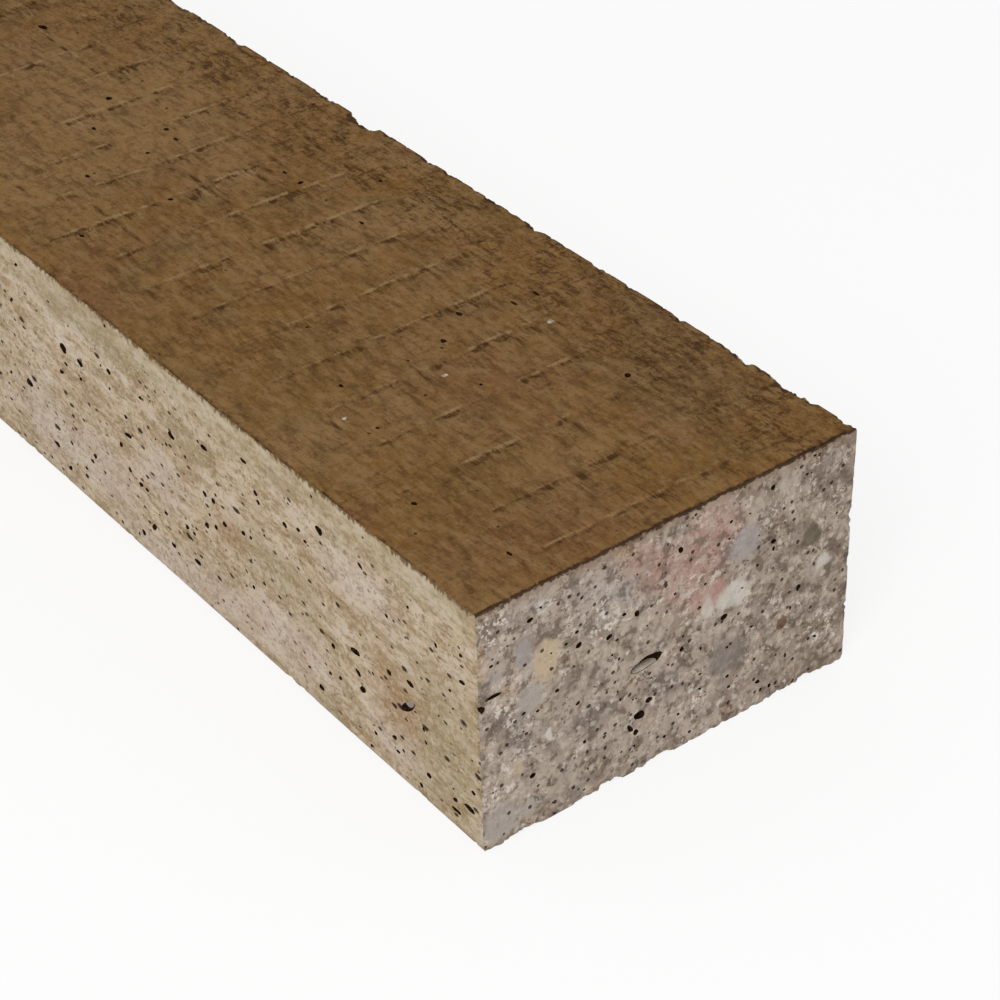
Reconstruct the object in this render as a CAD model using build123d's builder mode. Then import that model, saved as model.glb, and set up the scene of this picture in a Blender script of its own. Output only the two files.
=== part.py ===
"""A precast concrete lintel: one cast bar with a screeded top and two sawn ends."""
import os

from build123d import *

# Size of the bar
length = 600.0
width = 105.0
height = 65.0

# Rounding of the long edges: below by the mould, above by the trowel
mould_arris = 1.6
trowelled_arris = 0.9

# Tears that the screed left across the top, one or two at each stroke
tear_pitch = 17.6
first_tear = 9.0
tear_lip = 0.5
tear_ramp = 3.0
tear_gap = 3.0
mark_run_out = 5.0

# Tears of the strokes nearest to the near end: start and stop across the bar, and depth
near_tears = (
    ((17.0, 75.0, 0.3),),
    ((30.0, 62.0, 0.4),),
    ((28.0, 45.0, 0.4), (52.0, 75.0, 0.4)),
    ((20.0, 50.0, 0.3), (57.0, 77.0, 0.5)),
    ((20.0, 53.0, 0.3), (55.0, 76.0, 0.7)),
    ((17.0, 58.0, 0.3), (60.0, 77.0, 0.6)),
    ((30.0, 48.0, 0.3), (50.0, 76.0, 0.7)),
    ((14.0, 48.0, 0.3), (50.0, 80.0, 0.5)),
    ((17.0, 38.0, 0.7), (48.0, 82.0, 0.7)),
    ((15.0, 26.0, 0.3), (45.0, 84.0, 0.6)),
    ((9.0, 42.0, 0.7), (46.0, 75.0, 0.8)),
    ((22.0, 45.0, 0.4), (50.0, 82.0, 0.6)),
    ((30.0, 50.0, 0.5), (62.0, 77.0, 0.7)),
    ((40.0, 76.0, 0.7),),
    ((60.0, 80.0, 0.6),),
)

# Tears of the other strokes: the least and the most of their places across the bar and their depths
tear_starts = (6.0, 16.0)
tear_splits = (30.0, 58.0)
tear_stops = (74.0, 92.0)
shallow_tears = (0.3, 0.5)
deep_tears = (0.5, 0.8)

# Lengthwise lines where a stone was dragged under the screed: place across, start, stop, depth
near_drags = (
    (17.0, 66.0, 82.0, 0.3),
    (25.5, 166.0, 202.0, 0.3),
    (44.0, 64.0, 82.0, 0.35),
    (53.0, 168.0, 205.0, 0.3),
    (66.5, 176.0, 188.0, 0.3),
    (75.5, 69.0, 85.0, 0.3),
    (87.0, 166.0, 212.0, 0.35),
    (59.6, 13.0, 27.0, 0.35),
    (90.0, 15.0, 27.0, 0.35),
)
drag_width = 1.2
drag_reach = 30.0
drag_depth = 0.35
drag_spacing = 42.0
drag_band = (16.0, 94.0)

# Broken edges: the pitch of the breaks, and the least and the most that they bite in
sawn_bottom_breaks = (4.6, -0.6, 1.4)
sawn_side_breaks = (5.2, -0.8, 0.7)
sawn_top_breaks = (6.5, -0.8, 0.5)
ragged_top_breaks = (5.6, -0.5, 1.2)
mould_edge_breaks = (9.5, -0.9, 1.1)
break_clearance = 1.0

# Long bites in the ragged top edge: distance from the near end, half length, bite
ragged_edge_bites = ((22.5, 7.0, 1.9), (36.5, 4.5, 1.6), (187.0, 8.5, 2.8))

# Blow holes in the near long side: distance from the near end, drop from the top, radius
near_side_holes = (
    (25.8, 40.8, 2.3),
    (24.8, 33.8, 1.4),
    (45.4, 37.9, 1.1),
    (56.7, 11.5, 1.4),
    (70.8, 17.9, 1.1),
    (61.0, 58.1, 1.2),
    (103.7, 14.7, 1.3),
    (119.0, 19.6, 1.6),
    (106.4, 38.3, 1.2),
    (112.7, 52.9, 1.3),
    (133.0, 54.0, 1.4),
    (140.4, 31.1, 1.5),
    (161.2, 20.4, 1.4),
    (169.2, 20.4, 1.9),
    (180.4, 54.8, 1.6),
)

# Blow holes in the near sawn end: distance from the near side, drop from the top, radius
near_end_holes = (
    (43.4, 49.3, 1.7),
    (45.9, 46.9, 1.1),
    (67.4, 33.9, 1.2),
    (34.8, 23.2, 1.1),
    (81.2, 20.4, 1.2),
    (42.4, 20.5, 1.0),
    (26.6, 21.2, 1.0),
    (13.9, 8.1, 0.9),
    (54.3, 9.3, 0.9),
    (80.4, 4.9, 0.9),
    (89.6, 36.6, 0.9),
    (26.3, 36.8, 0.9),
)

# Blow holes of the faces that no view fixes, spread unevenly
hole_radii = (0.9, 1.2, 1.6)
long_side_hole_spacing = 17.0
far_end_hole_count = 14
soffit_hole_spacing = 60.0
hole_margin = 5.0

# A blow hole is a bowl with uneven walls: its depth as a share of the radius of its mouth
hole_depth_share = 0.9
hole_taper = 25.0
hole_sides = 7

# Socket that a pebble left in the near sawn end
socket_across = 45.5
socket_drop = 35.5
socket_length = 7.6
socket_width = 5.0

golden_ratio = 0.6180339887
second_ratio = 0.7548776662


def spread(index, ratio, low, high):
    """Return an uneven but repeatable place for this copy between two limits."""
    return low + (high - low) * (index * ratio % 1.0)


def cycle(index, sizes):
    """Return the size for this copy, going round the sizes unevenly."""
    return sizes[int(spread(index, golden_ratio, 0, len(sizes)))]


def stroke_tears(stroke):
    """Return the tears of one stroke: start and stop across the bar, and depth."""
    if stroke < len(near_tears):
        return near_tears[stroke]
    start = spread(stroke, second_ratio, *tear_starts)
    split = spread(stroke, golden_ratio, *tear_splits)
    stop = spread(stroke + 1, second_ratio, *tear_stops)
    shallow = spread(stroke, golden_ratio, *shallow_tears)
    deep = spread(stroke, second_ratio, *deep_tears)
    return ((start, split - tear_gap, shallow), (split + tear_gap, stop, deep))


def run_out_groove(steep, gentle, reach, depth):
    """Return the cutter of a groove along Y that starts at its origin and runs out to the surface."""
    with BuildPart() as groove:
        with BuildSketch(Plane.XZ):
            with BuildLine():
                Polyline((-2 * steep, depth), (0, -depth), (2 * gentle, depth), close=True)
            make_face()
        extrude(amount=2 * reach, both=True)
        with BuildSketch(Plane.YZ):
            with BuildLine():
                Polyline(
                    (-mark_run_out, depth),
                    (mark_run_out, -depth),
                    (reach - mark_run_out, -depth),
                    (reach + mark_run_out, depth),
                    close=True,
                )
            make_face()
        extrude(amount=reach, both=True, mode=Mode.INTERSECT)
    return groove.part


def blow_hole(mouth, radius):
    """Return the cutter of one blow hole: a bowl that narrows into the concrete."""
    with BuildPart() as bowl:
        with BuildSketch(mouth):
            RegularPolygon(radius, hole_sides)
        extrude(amount=hole_depth_share * radius, taper=hole_taper)
    return bowl.part


def edge_breaker(start, end, outward, points):
    """Return the cutter that bites into a straight edge by the given amounts along it."""
    edge = Vector(*end) - Vector(*start)
    diagonal = Vector(*outward).normalized()
    thickness = max(bite for place, bite in points) + break_clearance
    across = Plane(origin=start, x_dir=edge, z_dir=edge.cross(diagonal))
    outline = [(place, -bite) for place, bite in points]
    with BuildPart() as breaker:
        with BuildSketch(across):
            with BuildLine():
                Polyline(
                    (points[0][0], 2 * break_clearance),
                    *outline,
                    (points[-1][0], 2 * break_clearance),
                    close=True,
                )
            make_face()
        extrude(amount=thickness, both=True)
    return breaker.part


def broken_edge(start, end, outward, breaks):
    """Return the cutter of an edge that is broken unevenly all along."""
    spacing, least, most = breaks
    span = (Vector(*end) - Vector(*start)).length
    count = max(2, round(span / spacing))
    points = [(-break_clearance, least)]
    for index in range(count):
        place = (index + spread(index, second_ratio, 0.2, 0.8)) * span / count
        points.append((place, spread(index + 1, golden_ratio, least, most)))
    points.append((span + break_clearance, least))
    return edge_breaker(start, end, outward, points)


end_x = length / 2
side_y = width / 2

# Each ragged edge, with the direction that faces away from the concrete there
breakers = []
for end in (1, -1):
    for side in (1, -1):
        foot = (end * end_x, side * side_y, 0)
        head = (end * end_x, side * side_y, height)
        breakers.append(broken_edge(foot, head, (end, side, 0), sawn_side_breaks))
    for level, breaks in ((0, sawn_bottom_breaks), (height, sawn_top_breaks)):
        near_corner = (end * end_x, -end * side_y, level)
        far_corner = (end * end_x, end * side_y, level)
        outward = (end, 0, 1 if level else -1)
        breakers.append(broken_edge(near_corner, far_corner, outward, breaks))
for side in (1, -1):
    near_foot = (end_x, side * side_y, 0)
    far_foot = (-end_x, side * side_y, 0)
    breakers.append(broken_edge(near_foot, far_foot, (0, side, -1), mould_edge_breaks))
near_head = (end_x, side_y, height)
far_head = (-end_x, side_y, height)
breakers.append(broken_edge(near_head, far_head, (0, 1, 1), ragged_top_breaks))
for distance, half_length, bite in ragged_edge_bites:
    points = (
        (distance - half_length, -break_clearance / 2),
        (distance - half_length / 2, bite),
        (distance + half_length / 3, 0.8 * bite),
        (distance + half_length, -break_clearance / 2),
    )
    breakers.append(edge_breaker(near_head, far_head, (0, 1, 1), points))

# Every blow hole, as the plane of its mouth facing into the concrete and its radius
holes = []
for distance, drop, radius in near_side_holes:
    mouth = Plane(origin=(end_x - distance, -side_y, height - drop), z_dir=(0, 1, 0))
    holes.append((mouth, radius))
for across, drop, radius in near_end_holes:
    mouth = Plane(origin=(end_x, across - side_y, height - drop), z_dir=(-1, 0, 0))
    holes.append((mouth, radius))
last_near_side_hole = max(distance for distance, drop, radius in near_side_holes)
long_side_holes = int(length / long_side_hole_spacing)
for index in range(long_side_holes):
    hole_x = end_x - length * (index + 0.5) / long_side_holes
    hole_z = spread(index, golden_ratio, hole_margin, height - 2 * hole_margin)
    mouth = Plane(origin=(hole_x, side_y, hole_z), z_dir=(0, -1, 0))
    holes.append((mouth, cycle(index, hole_radii)))
    if end_x - hole_x > last_near_side_hole + hole_margin:
        hole_z = spread(index, second_ratio, hole_margin, height - 2 * hole_margin)
        mouth = Plane(origin=(hole_x, -side_y, hole_z), z_dir=(0, 1, 0))
        holes.append((mouth, cycle(index + 2, hole_radii)))
for index in range(far_end_hole_count):
    hole_y = spread(index, golden_ratio, hole_margin - side_y, side_y - hole_margin)
    hole_z = spread(index, second_ratio, hole_margin, height - hole_margin)
    mouth = Plane(origin=(-end_x, hole_y, hole_z), z_dir=(1, 0, 0))
    holes.append((mouth, cycle(index, hole_radii)))
soffit_holes = int(length / soffit_hole_spacing)
for index in range(soffit_holes):
    hole_x = length * (index + 0.5) / soffit_holes - end_x
    hole_y = spread(index, golden_ratio, 2 * hole_margin - side_y, side_y - 2 * hole_margin)
    mouth = Plane(origin=(hole_x, hole_y, 0), z_dir=(0, 0, 1))
    holes.append((mouth, cycle(index, hole_radii)))

# The marks of the screed: torn across the bar at each stroke, dragged along it
marks = []
for stroke in range(int((length - first_tear) / tear_pitch)):
    tear_x = end_x - first_tear - stroke * tear_pitch
    for start, stop, depth in stroke_tears(stroke):
        groove = run_out_groove(tear_lip, tear_ramp, stop - start, depth)
        marks.append(groove.moved(Location((tear_x, start - side_y, height))))
drags = list(near_drags)
last_near_drag = max(stop for across, start, stop, depth in near_drags)
for index in range(int((length - last_near_drag) / drag_spacing)):
    start = last_near_drag + index * drag_spacing
    across = spread(index, golden_ratio, *drag_band)
    drags.append((across, start, start + drag_reach, drag_depth))
for across, start, stop, depth in drags:
    groove = run_out_groove(drag_width / 2, drag_width / 2, stop - start, depth)
    drag_place = Location((end_x - start, across - side_y, height), (0, 0, 90))
    marks.append(groove.moved(drag_place))

with BuildPart() as lintel:
    # The cast section, drawn across the bar and run along its whole length
    with BuildSketch(Plane.YZ.offset(-end_x)) as section:
        Rectangle(width, height, align=(Align.CENTER, Align.MIN))
        fillet(section.vertices().group_by(Axis.Y)[0], mould_arris)
        fillet(section.vertices().group_by(Axis.Y)[-1], trowelled_arris)
    extrude(amount=length)

    # Torn and dragged marks in the top
    add(marks, clean=False, mode=Mode.SUBTRACT)

    # Concrete broken out of the edges
    add(breakers, clean=False, mode=Mode.SUBTRACT)

    # Blow holes in every face but the top
    bowls = [blow_hole(mouth, radius) for mouth, radius in holes]
    add(bowls, clean=False, mode=Mode.SUBTRACT)

    # The pebble's socket is a spindle, turned about its own length in the sawn face
    bulge = ((socket_length / 2) ** 2 + (socket_width / 2) ** 2) / socket_width
    with BuildSketch(Plane.YZ.offset(end_x)) as socket_profile:
        with BuildLine():
            left = (socket_across - socket_length / 2 - side_y, height - socket_drop)
            right = (socket_across + socket_length / 2 - side_y, height - socket_drop)
            RadiusArc(left, right, bulge)
            Line(right, left)
        make_face()
    revolve(
        axis=Axis((end_x, 0, height - socket_drop), (0, 1, 0)),
        clean=False,
        mode=Mode.SUBTRACT,
    )

lintel.part.label = "lintel_body"

os.makedirs("parts", exist_ok=True)
export_step(lintel.part, "parts/lintel_body.step")
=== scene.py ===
"""A precast concrete lintel: screeded brown top, pitted cast sides and sawn ends."""

import functools
import itertools
import math

import bmesh
import bpy
import numpy as np
from mathutils import Matrix, Vector


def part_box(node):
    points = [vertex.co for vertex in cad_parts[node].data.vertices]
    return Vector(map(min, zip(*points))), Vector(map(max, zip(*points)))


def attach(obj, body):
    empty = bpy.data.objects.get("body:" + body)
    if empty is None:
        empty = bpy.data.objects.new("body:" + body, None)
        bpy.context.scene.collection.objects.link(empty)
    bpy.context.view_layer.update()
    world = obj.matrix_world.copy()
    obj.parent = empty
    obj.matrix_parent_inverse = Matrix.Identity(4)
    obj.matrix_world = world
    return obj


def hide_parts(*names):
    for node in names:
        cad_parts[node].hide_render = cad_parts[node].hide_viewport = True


bl_info = {
    "name": "Concrete lintel",
    "version": (1, 0, 0),
    "blender": (4, 5, 0),
    "location": "View3D > Sidebar > Lintel",
    "description": "Casts a concrete lintel with its screed marks, blow holes and cut stones",
    "category": "Object",
}

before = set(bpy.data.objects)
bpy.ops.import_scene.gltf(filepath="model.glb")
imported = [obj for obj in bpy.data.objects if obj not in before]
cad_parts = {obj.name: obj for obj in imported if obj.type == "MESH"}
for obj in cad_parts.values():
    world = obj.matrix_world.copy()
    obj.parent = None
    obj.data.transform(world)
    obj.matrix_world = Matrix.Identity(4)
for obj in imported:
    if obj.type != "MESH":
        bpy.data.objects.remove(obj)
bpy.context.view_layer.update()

# The bar's own sizes come from the frame, in millimetres, which all the relief is worked in
MM = 0.001
LOW, HIGH = (np.array(corner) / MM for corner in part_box("lintel_body"))
LENGTH, WIDTH, HEIGHT = HIGH - LOW
END_X = LENGTH / 2
SIDE_Y = WIDTH / 2

# How near to a face of the plain bar a point counts as lying on it
ON_FACE = 0.05

# Ratios whose multiples never settle into a pattern, so that repeated marks look uneven
GOLDEN_RATIO = 0.6180339887
SECOND_RATIO = 0.7548776662

# Whole numbers that scramble the cells of the noise
CELL_SHIFT = 100000
CELL_PRIMES = (73856093, 19349663, 83492791)
SEED_FACTOR = 2654435761
MIXING_FACTOR = np.uint64(1274126177)
LOW_WORD = np.uint64(0xFFFFFFFF)
LOW_BITS = np.uint64(0xFFFFFF)
HALF_RANGE = float(0x7FFFFF)

# Tears that the screed left across the top, one or two at each stroke
TEAR_PITCH = 17.6
FIRST_TEAR = 9.0
TEAR_GAP = 3.0
TEAR_BLUR = 3.0

# Tears of the strokes nearest to the near end: start and stop across the bar, and depth
NEAR_TEARS = (
    ((17, 75, 0.3),),
    ((30, 62, 0.4),),
    ((28, 45, 0.4), (52, 75, 0.4)),
    ((20, 50, 0.3), (57, 77, 0.5)),
    ((20, 53, 0.3), (55, 76, 0.7)),
    ((17, 58, 0.3), (60, 77, 0.6)),
    ((30, 48, 0.3), (50, 76, 0.7)),
    ((14, 48, 0.3), (50, 80, 0.5)),
    ((17, 38, 0.7), (48, 82, 0.7)),
    ((15, 26, 0.3), (45, 84, 0.6)),
    ((9, 42, 0.7), (46, 75, 0.8)),
    ((22, 45, 0.4), (50, 82, 0.6)),
    ((30, 50, 0.5), (62, 77, 0.7)),
    ((40, 76, 0.7),),
    ((60, 80, 0.6),),
)

# Tears of the other strokes: the least and the most of their places across and their depths
TEAR_STARTS = (6.0, 16.0)
TEAR_SPLITS = (30.0, 58.0)
TEAR_STOPS = (74.0, 92.0)
SHALLOW_TEARS = (0.3, 0.5)
DEEP_TEARS = (0.5, 0.8)

# Lengthwise lines where a stone was dragged under the screed: place across, start, stop, depth
NEAR_DRAGS = (
    (17.0, 66, 82, 0.3),
    (25.5, 166, 202, 0.3),
    (44.0, 64, 82, 0.35),
    (53.0, 168, 205, 0.3),
    (66.5, 176, 188, 0.3),
    (75.5, 69, 85, 0.3),
    (87.0, 166, 212, 0.35),
    (59.6, 13, 27, 0.35),
    (90.0, 15, 27, 0.35),
)
DRAG_REACH = 30.0
DRAG_DEPTH = 0.35
DRAG_SPACING = 42.0
DRAG_BAND = (16.0, 94.0)
DRAG_BLUR = 3.0
DRAG_HALF_WIDTH = 0.5
DRAG_TORN = 1.6

# Lengthwise lines that stand proud: place across, start, stop
PROUD_LINES = (
    (45.6, 58, 92),
    (77.0, 50, 112),
    (18.3, 70, 80),
    (54.0, 60, 72),
    (74.6, 196, 214),
    (77.2, 196, 208),
    (81.0, 160, 176),
)
PROUD_BLUR = 4.0
PROUD_HALF_WIDTH = 0.4
PROUD_HEIGHT = 0.06
# How strongly the proud lines take the painted highlight of the lips
PROUD_RIDGED = 0.5

# Profile of one stroke, by the distance past its edge: where the groove drops off, where it
# rises again, in its own widths, where the teeth that trail from it start, where they fade, as a
# share of their reach, the two slopes of its lip, and where the combed look fades
TEAR_EDGE = (-0.25, 0.35)
TEAR_FOOT = (0.55, 1.35)
COMB_START = (0.0, 0.8)
COMB_FADE = 0.3
LIP_SLOPES = ((-1.1, -0.45), (-0.15, 0.35))
COMBED_FADE = (3.0, 12.0)

# Where across the bar the lips, the faint tears and the combed look start and stop, and the blur
LIP_SPAN = (14.0, 86.0, 7.0)
FAINT_SPAN = (10.0, 96.0, 8.0)
COMBED_SPAN = (12.0, 110.0, 6.0)

# How the teeth lean, how far apart the noise of two strokes is taken, and its stretch
TEETH_LEAN = 0.05
STROKE_SHIFT = 7.0
PATCH_STRETCH = 0.4

# Least height of a tooth that digs in, and of one that stands up
COMB_GAP = 0.05
HAIR_GAP = 0.35

# Depth of the tears, and height of the lips and of the ridges between teeth
TORN_DEPTH = 0.65
LIP_HEIGHT = 0.055
HAIR_HEIGHT = 0.14

# What lips, ridges and combing keep where a tear is faint, what the ridges gain where it is
# deep, and how far the lengthwise lines sway with the strokes
LIP_LEAST = 0.5
RIDGED_LEAST = 0.35
RIDGED_SHARE = 0.9
COMBED_LEAST = 0.2
LINE_SWAY = 0.5

# How deep the teeth dig beside the groove, and teeth and groove of the faint strokes
COMB_SHARE = 0.8
FAINT_COMB = 0.3
FAINT_BAND = 0.28

# Layers of bumps on the top: height, size of a bump, seed
STROKE_WAVE = (0.8, (40.0, 22.0), 3)
STROKE_WOBBLE = (0.3, (9.0, 4.0), 4)
TEETH = (1.7, (0.95, 1.0), 6)
SKIN_SWELL = (0.10, (34.0, 26.0), 8)
SKIN_BUMPS = ((0.055, (16.0, 1.4), 9), (0.035, (1.9, 9.0), 15), (0.045, (2.6, 1.5), 10))
ROUGH_LUMPS = (0.11, (3.4, 1.9), 11)
ROUGH_GRAINS = (0.05, (1.6, 1.2), 16)
ROUGH_SINK = 0.06

# Where the top is rough, towards the far long side and in patches, and calm by the near one
ROUGH_RISE = (74.0, 88.0)
ROUGH_PATCHES = (1.0, (30.0, 20.0), 14)
ROUGH_PATCH_RISE = (0.1, 0.7)
ROUGH_PATCH_SHARE = 0.4
CALM_LEAST = 0.35
CALM_RISE = (10.0, 24.0)

# Uneven levels on the top: mean, swing, size of a bump, seed, least, most
TEAR_PATCHES = (0.62, 0.8, (3.4, 1.0), 5, 0.1, 1.0)
COMB_REACHES = (0.35, 0.9, (1.9, 1.0), 7, 0.16, 1.0)
TEAR_WIDTHS = (1.0, 0.8, (2.3, 1.0), 12, 0.4, 2.0)
LIP_GAPS = (0.35, 1.3, (1.7, 1.0), 13, 0.0, 1.0)
FAINT_TEARS = (0.35, 1.0, (6.5, 1.0), 18, 0.0, 1.0)
DRAG_GAPS = (0.6, 1.2, (3.5, 50.0), 19, 0.15, 1.0)
PROUD_GAPS = (0.5, 1.0, (7.0, 50.0), 17, 0.0, 1.0)

# Broken edges: the pitch of the breaks, and the least and the most that they bite in
SAWN_BOTTOM_BREAKS = (4.6, -0.6, 1.4)
SAWN_SIDE_BREAKS = (5.2, -0.8, 0.7)
SAWN_TOP_BREAKS = (6.5, -0.8, 0.5)
RAGGED_TOP_BREAKS = (5.6, -0.5, 1.2)
MOULD_EDGE_BREAKS = (9.5, -0.9, 1.1)
RAGGED_EDGE_BITES = ((22.5, 7.0, 1.9), (36.5, 4.5, 1.6), (187.0, 8.5, 2.8))
BREAK_CLEARANCE = 1.0
BREAK_REACH = 3.0

# Where in its pitch a break may lie, the rim and the shelf of a large bite, and how far around
# a break, and how far in from the edge, the broken look begins
BREAK_PLACES = (0.2, 0.8)
NOTCH_RIM = -0.5
NOTCH_SHELF = 0.8
BROKEN_BLUR = 0.45
BROKEN_INSET = 0.15

# Crumbling of the broken edges: share of a break's own spread, or height, then size and seed
BREAK_WOBBLE = (0.22, 2.6, 21)
BREAK_LUMPS = (0.8, 1.9, 22)
BREAK_CRUMBS = (0.6, 0.95, 23)

# Wear of the other faces: size of the marks and seed, the widest first
SIDE_WEAR = (((26.0, 12.0), 32), ((6.0, 2.6), 33), ((2.2, 1.4), 34))
END_WEAR = (((8.0, 7.0), 35), ((2.6, 2.3), 36), ((1.3, 1.2), 37))
SOFFIT_WEAR = (0.05, (16.0, 11.0), 31)

# Share of the finer marks in the wear, on the sides, in their trowelled band and on the ends
SIDE_FINE = 0.7
BAND_MIDDLING = 0.25
BAND_FINE = 0.2
END_MIDDLING = 0.8
END_FINE = 0.5

# How the screed's relief fades out towards the long sides and the ends, and what is left of it
FADE_BY_SIDE = (0.0, 2.0)
FADE_BY_END = (0.0, 1.5)
FADE_LEAST = 0.25

# How far apart the noise of two opposite faces is taken
FACE_SHIFT = 1000.0

# Where below the top the smooth band ends that the trowel left on the cast sides
TROWELLED_BAND = (3.0, 11.0)

# Spacing of the mesh beside the edges, how far in from the ends and from the long edges it
# reaches, and the gap between the near rows and the far ones
EDGE_STEP = 0.4
END_MARGIN = 4.0
SIDE_MARGIN = 3.2
ROW_GAP = 0.6

# Blow holes in the near long side: behind the near end, below the top, half length and height,
# tilt
SIDE_VOIDS = (
    (56.7, 11.5, 1.6, 1.3, 0),
    (25.8, 40.8, 4.2, 1.4, 38),
    (24.8, 33.8, 1.5, 1.1, -20),
    (45.4, 37.9, 2.2, 1.1, 10),
    (43.7, 47.5, 1.4, 1.1, 30),
    (45.0, 43.8, 1.4, 1.0, -25),
    (32.9, 35.8, 1.3, 0.8, 0),
    (9.6, 59.3, 2.2, 0.9, 0),
    (10.0, 56.5, 1.1, 0.8, 20),
    (19.2, 56.1, 1.2, 0.9, 15),
    (22.7, 61.1, 1.1, 0.9, 20),
    (3.3, 49.8, 1.1, 0.8, 10),
    (5.0, 55.3, 2.2, 0.9, 0),
    (32.1, 53.8, 1.3, 0.8, 20),
    (61.0, 58.1, 1.4, 1.1, 0),
    (54.6, 42.1, 1.1, 0.9, 20),
    (70.8, 17.9, 1.2, 0.9, 10),
    (82.5, 15.8, 1.0, 0.8, 0),
    (81.6, 17.9, 1.0, 0.8, 0),
    (65.4, 16.1, 1.0, 0.8, 20),
    (62.9, 17.9, 1.0, 0.6, 20),
    (103.7, 14.7, 1.8, 0.8, 5),
    (106.3, 14.3, 0.8, 0.7, 0),
    (119.0, 19.6, 1.8, 1.2, 0),
    (105.7, 28.9, 1.2, 0.9, 0),
    (102.0, 28.8, 1.0, 0.9, 20),
    (106.4, 38.3, 1.3, 1.0, 20),
    (102.2, 36.4, 1.2, 0.8, 20),
    (98.0, 33.2, 1.2, 0.9, 30),
    (113.1, 44.6, 0.9, 0.8, 0),
    (116.2, 44.3, 1.1, 0.9, 10),
    (126.0, 46.0, 1.2, 0.9, 20),
    (112.7, 52.9, 1.8, 0.9, 0),
    (124.0, 54.4, 1.5, 1.0, 0),
    (87.3, 45.3, 1.1, 0.8, 30),
    (89.6, 31.0, 1.2, 0.8, 10),
    (86.5, 30.5, 0.9, 0.6, 20),
    (113.3, 22.5, 0.9, 0.7, 40),
    (39.6, 57.5, 0.9, 0.8, 0),
    (56.7, 51.3, 0.9, 0.8, 20),
    (52.5, 50.0, 1.0, 0.7, 20),
    (32.5, 20.0, 0.9, 0.8, 0),
    (5.8, 21.0, 1.4, 0.7, 15),
    (14.6, 16.7, 0.7, 0.9, 0),
    (20.0, 47.1, 0.8, 0.9, 0),
    (20.7, 43.8, 0.8, 0.8, 0),
    (86.7, 9.3, 1.8, 0.6, 0),
    (180.4, 54.8, 2.0, 1.0, 0),
    (133.0, 54.0, 1.6, 1.1, 30),
    (140.4, 31.1, 2.2, 0.9, 10),
    (140.8, 25.7, 1.2, 0.8, 20),
    (145.0, 36.0, 1.3, 0.9, 30),
    (169.2, 20.4, 2.0, 1.8, 20),
    (161.2, 20.4, 1.5, 1.2, 0),
    (172.1, 28.5, 1.4, 0.8, 15),
    (146.8, 15.8, 1.2, 1.0, 20),
    (132.2, 15.7, 1.1, 0.7, 20),
    (159.7, 47.3, 1.2, 1.0, 30),
    (161.6, 49.9, 1.1, 0.8, 10),
    (165.8, 54.3, 1.2, 0.8, 20),
    (166.0, 56.8, 1.1, 0.8, 10),
    (172.0, 50.0, 1.0, 0.9, 20),
    (174.8, 59.2, 1.4, 0.8, 25),
    (138.7, 59.0, 1.3, 0.9, 10),
    (137.0, 43.6, 1.3, 0.9, 20),
    (134.2, 43.6, 1.1, 0.7, 0),
    (142.0, 42.0, 1.2, 0.7, 10),
    (161.8, 25.4, 1.1, 0.7, 40),
)

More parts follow.
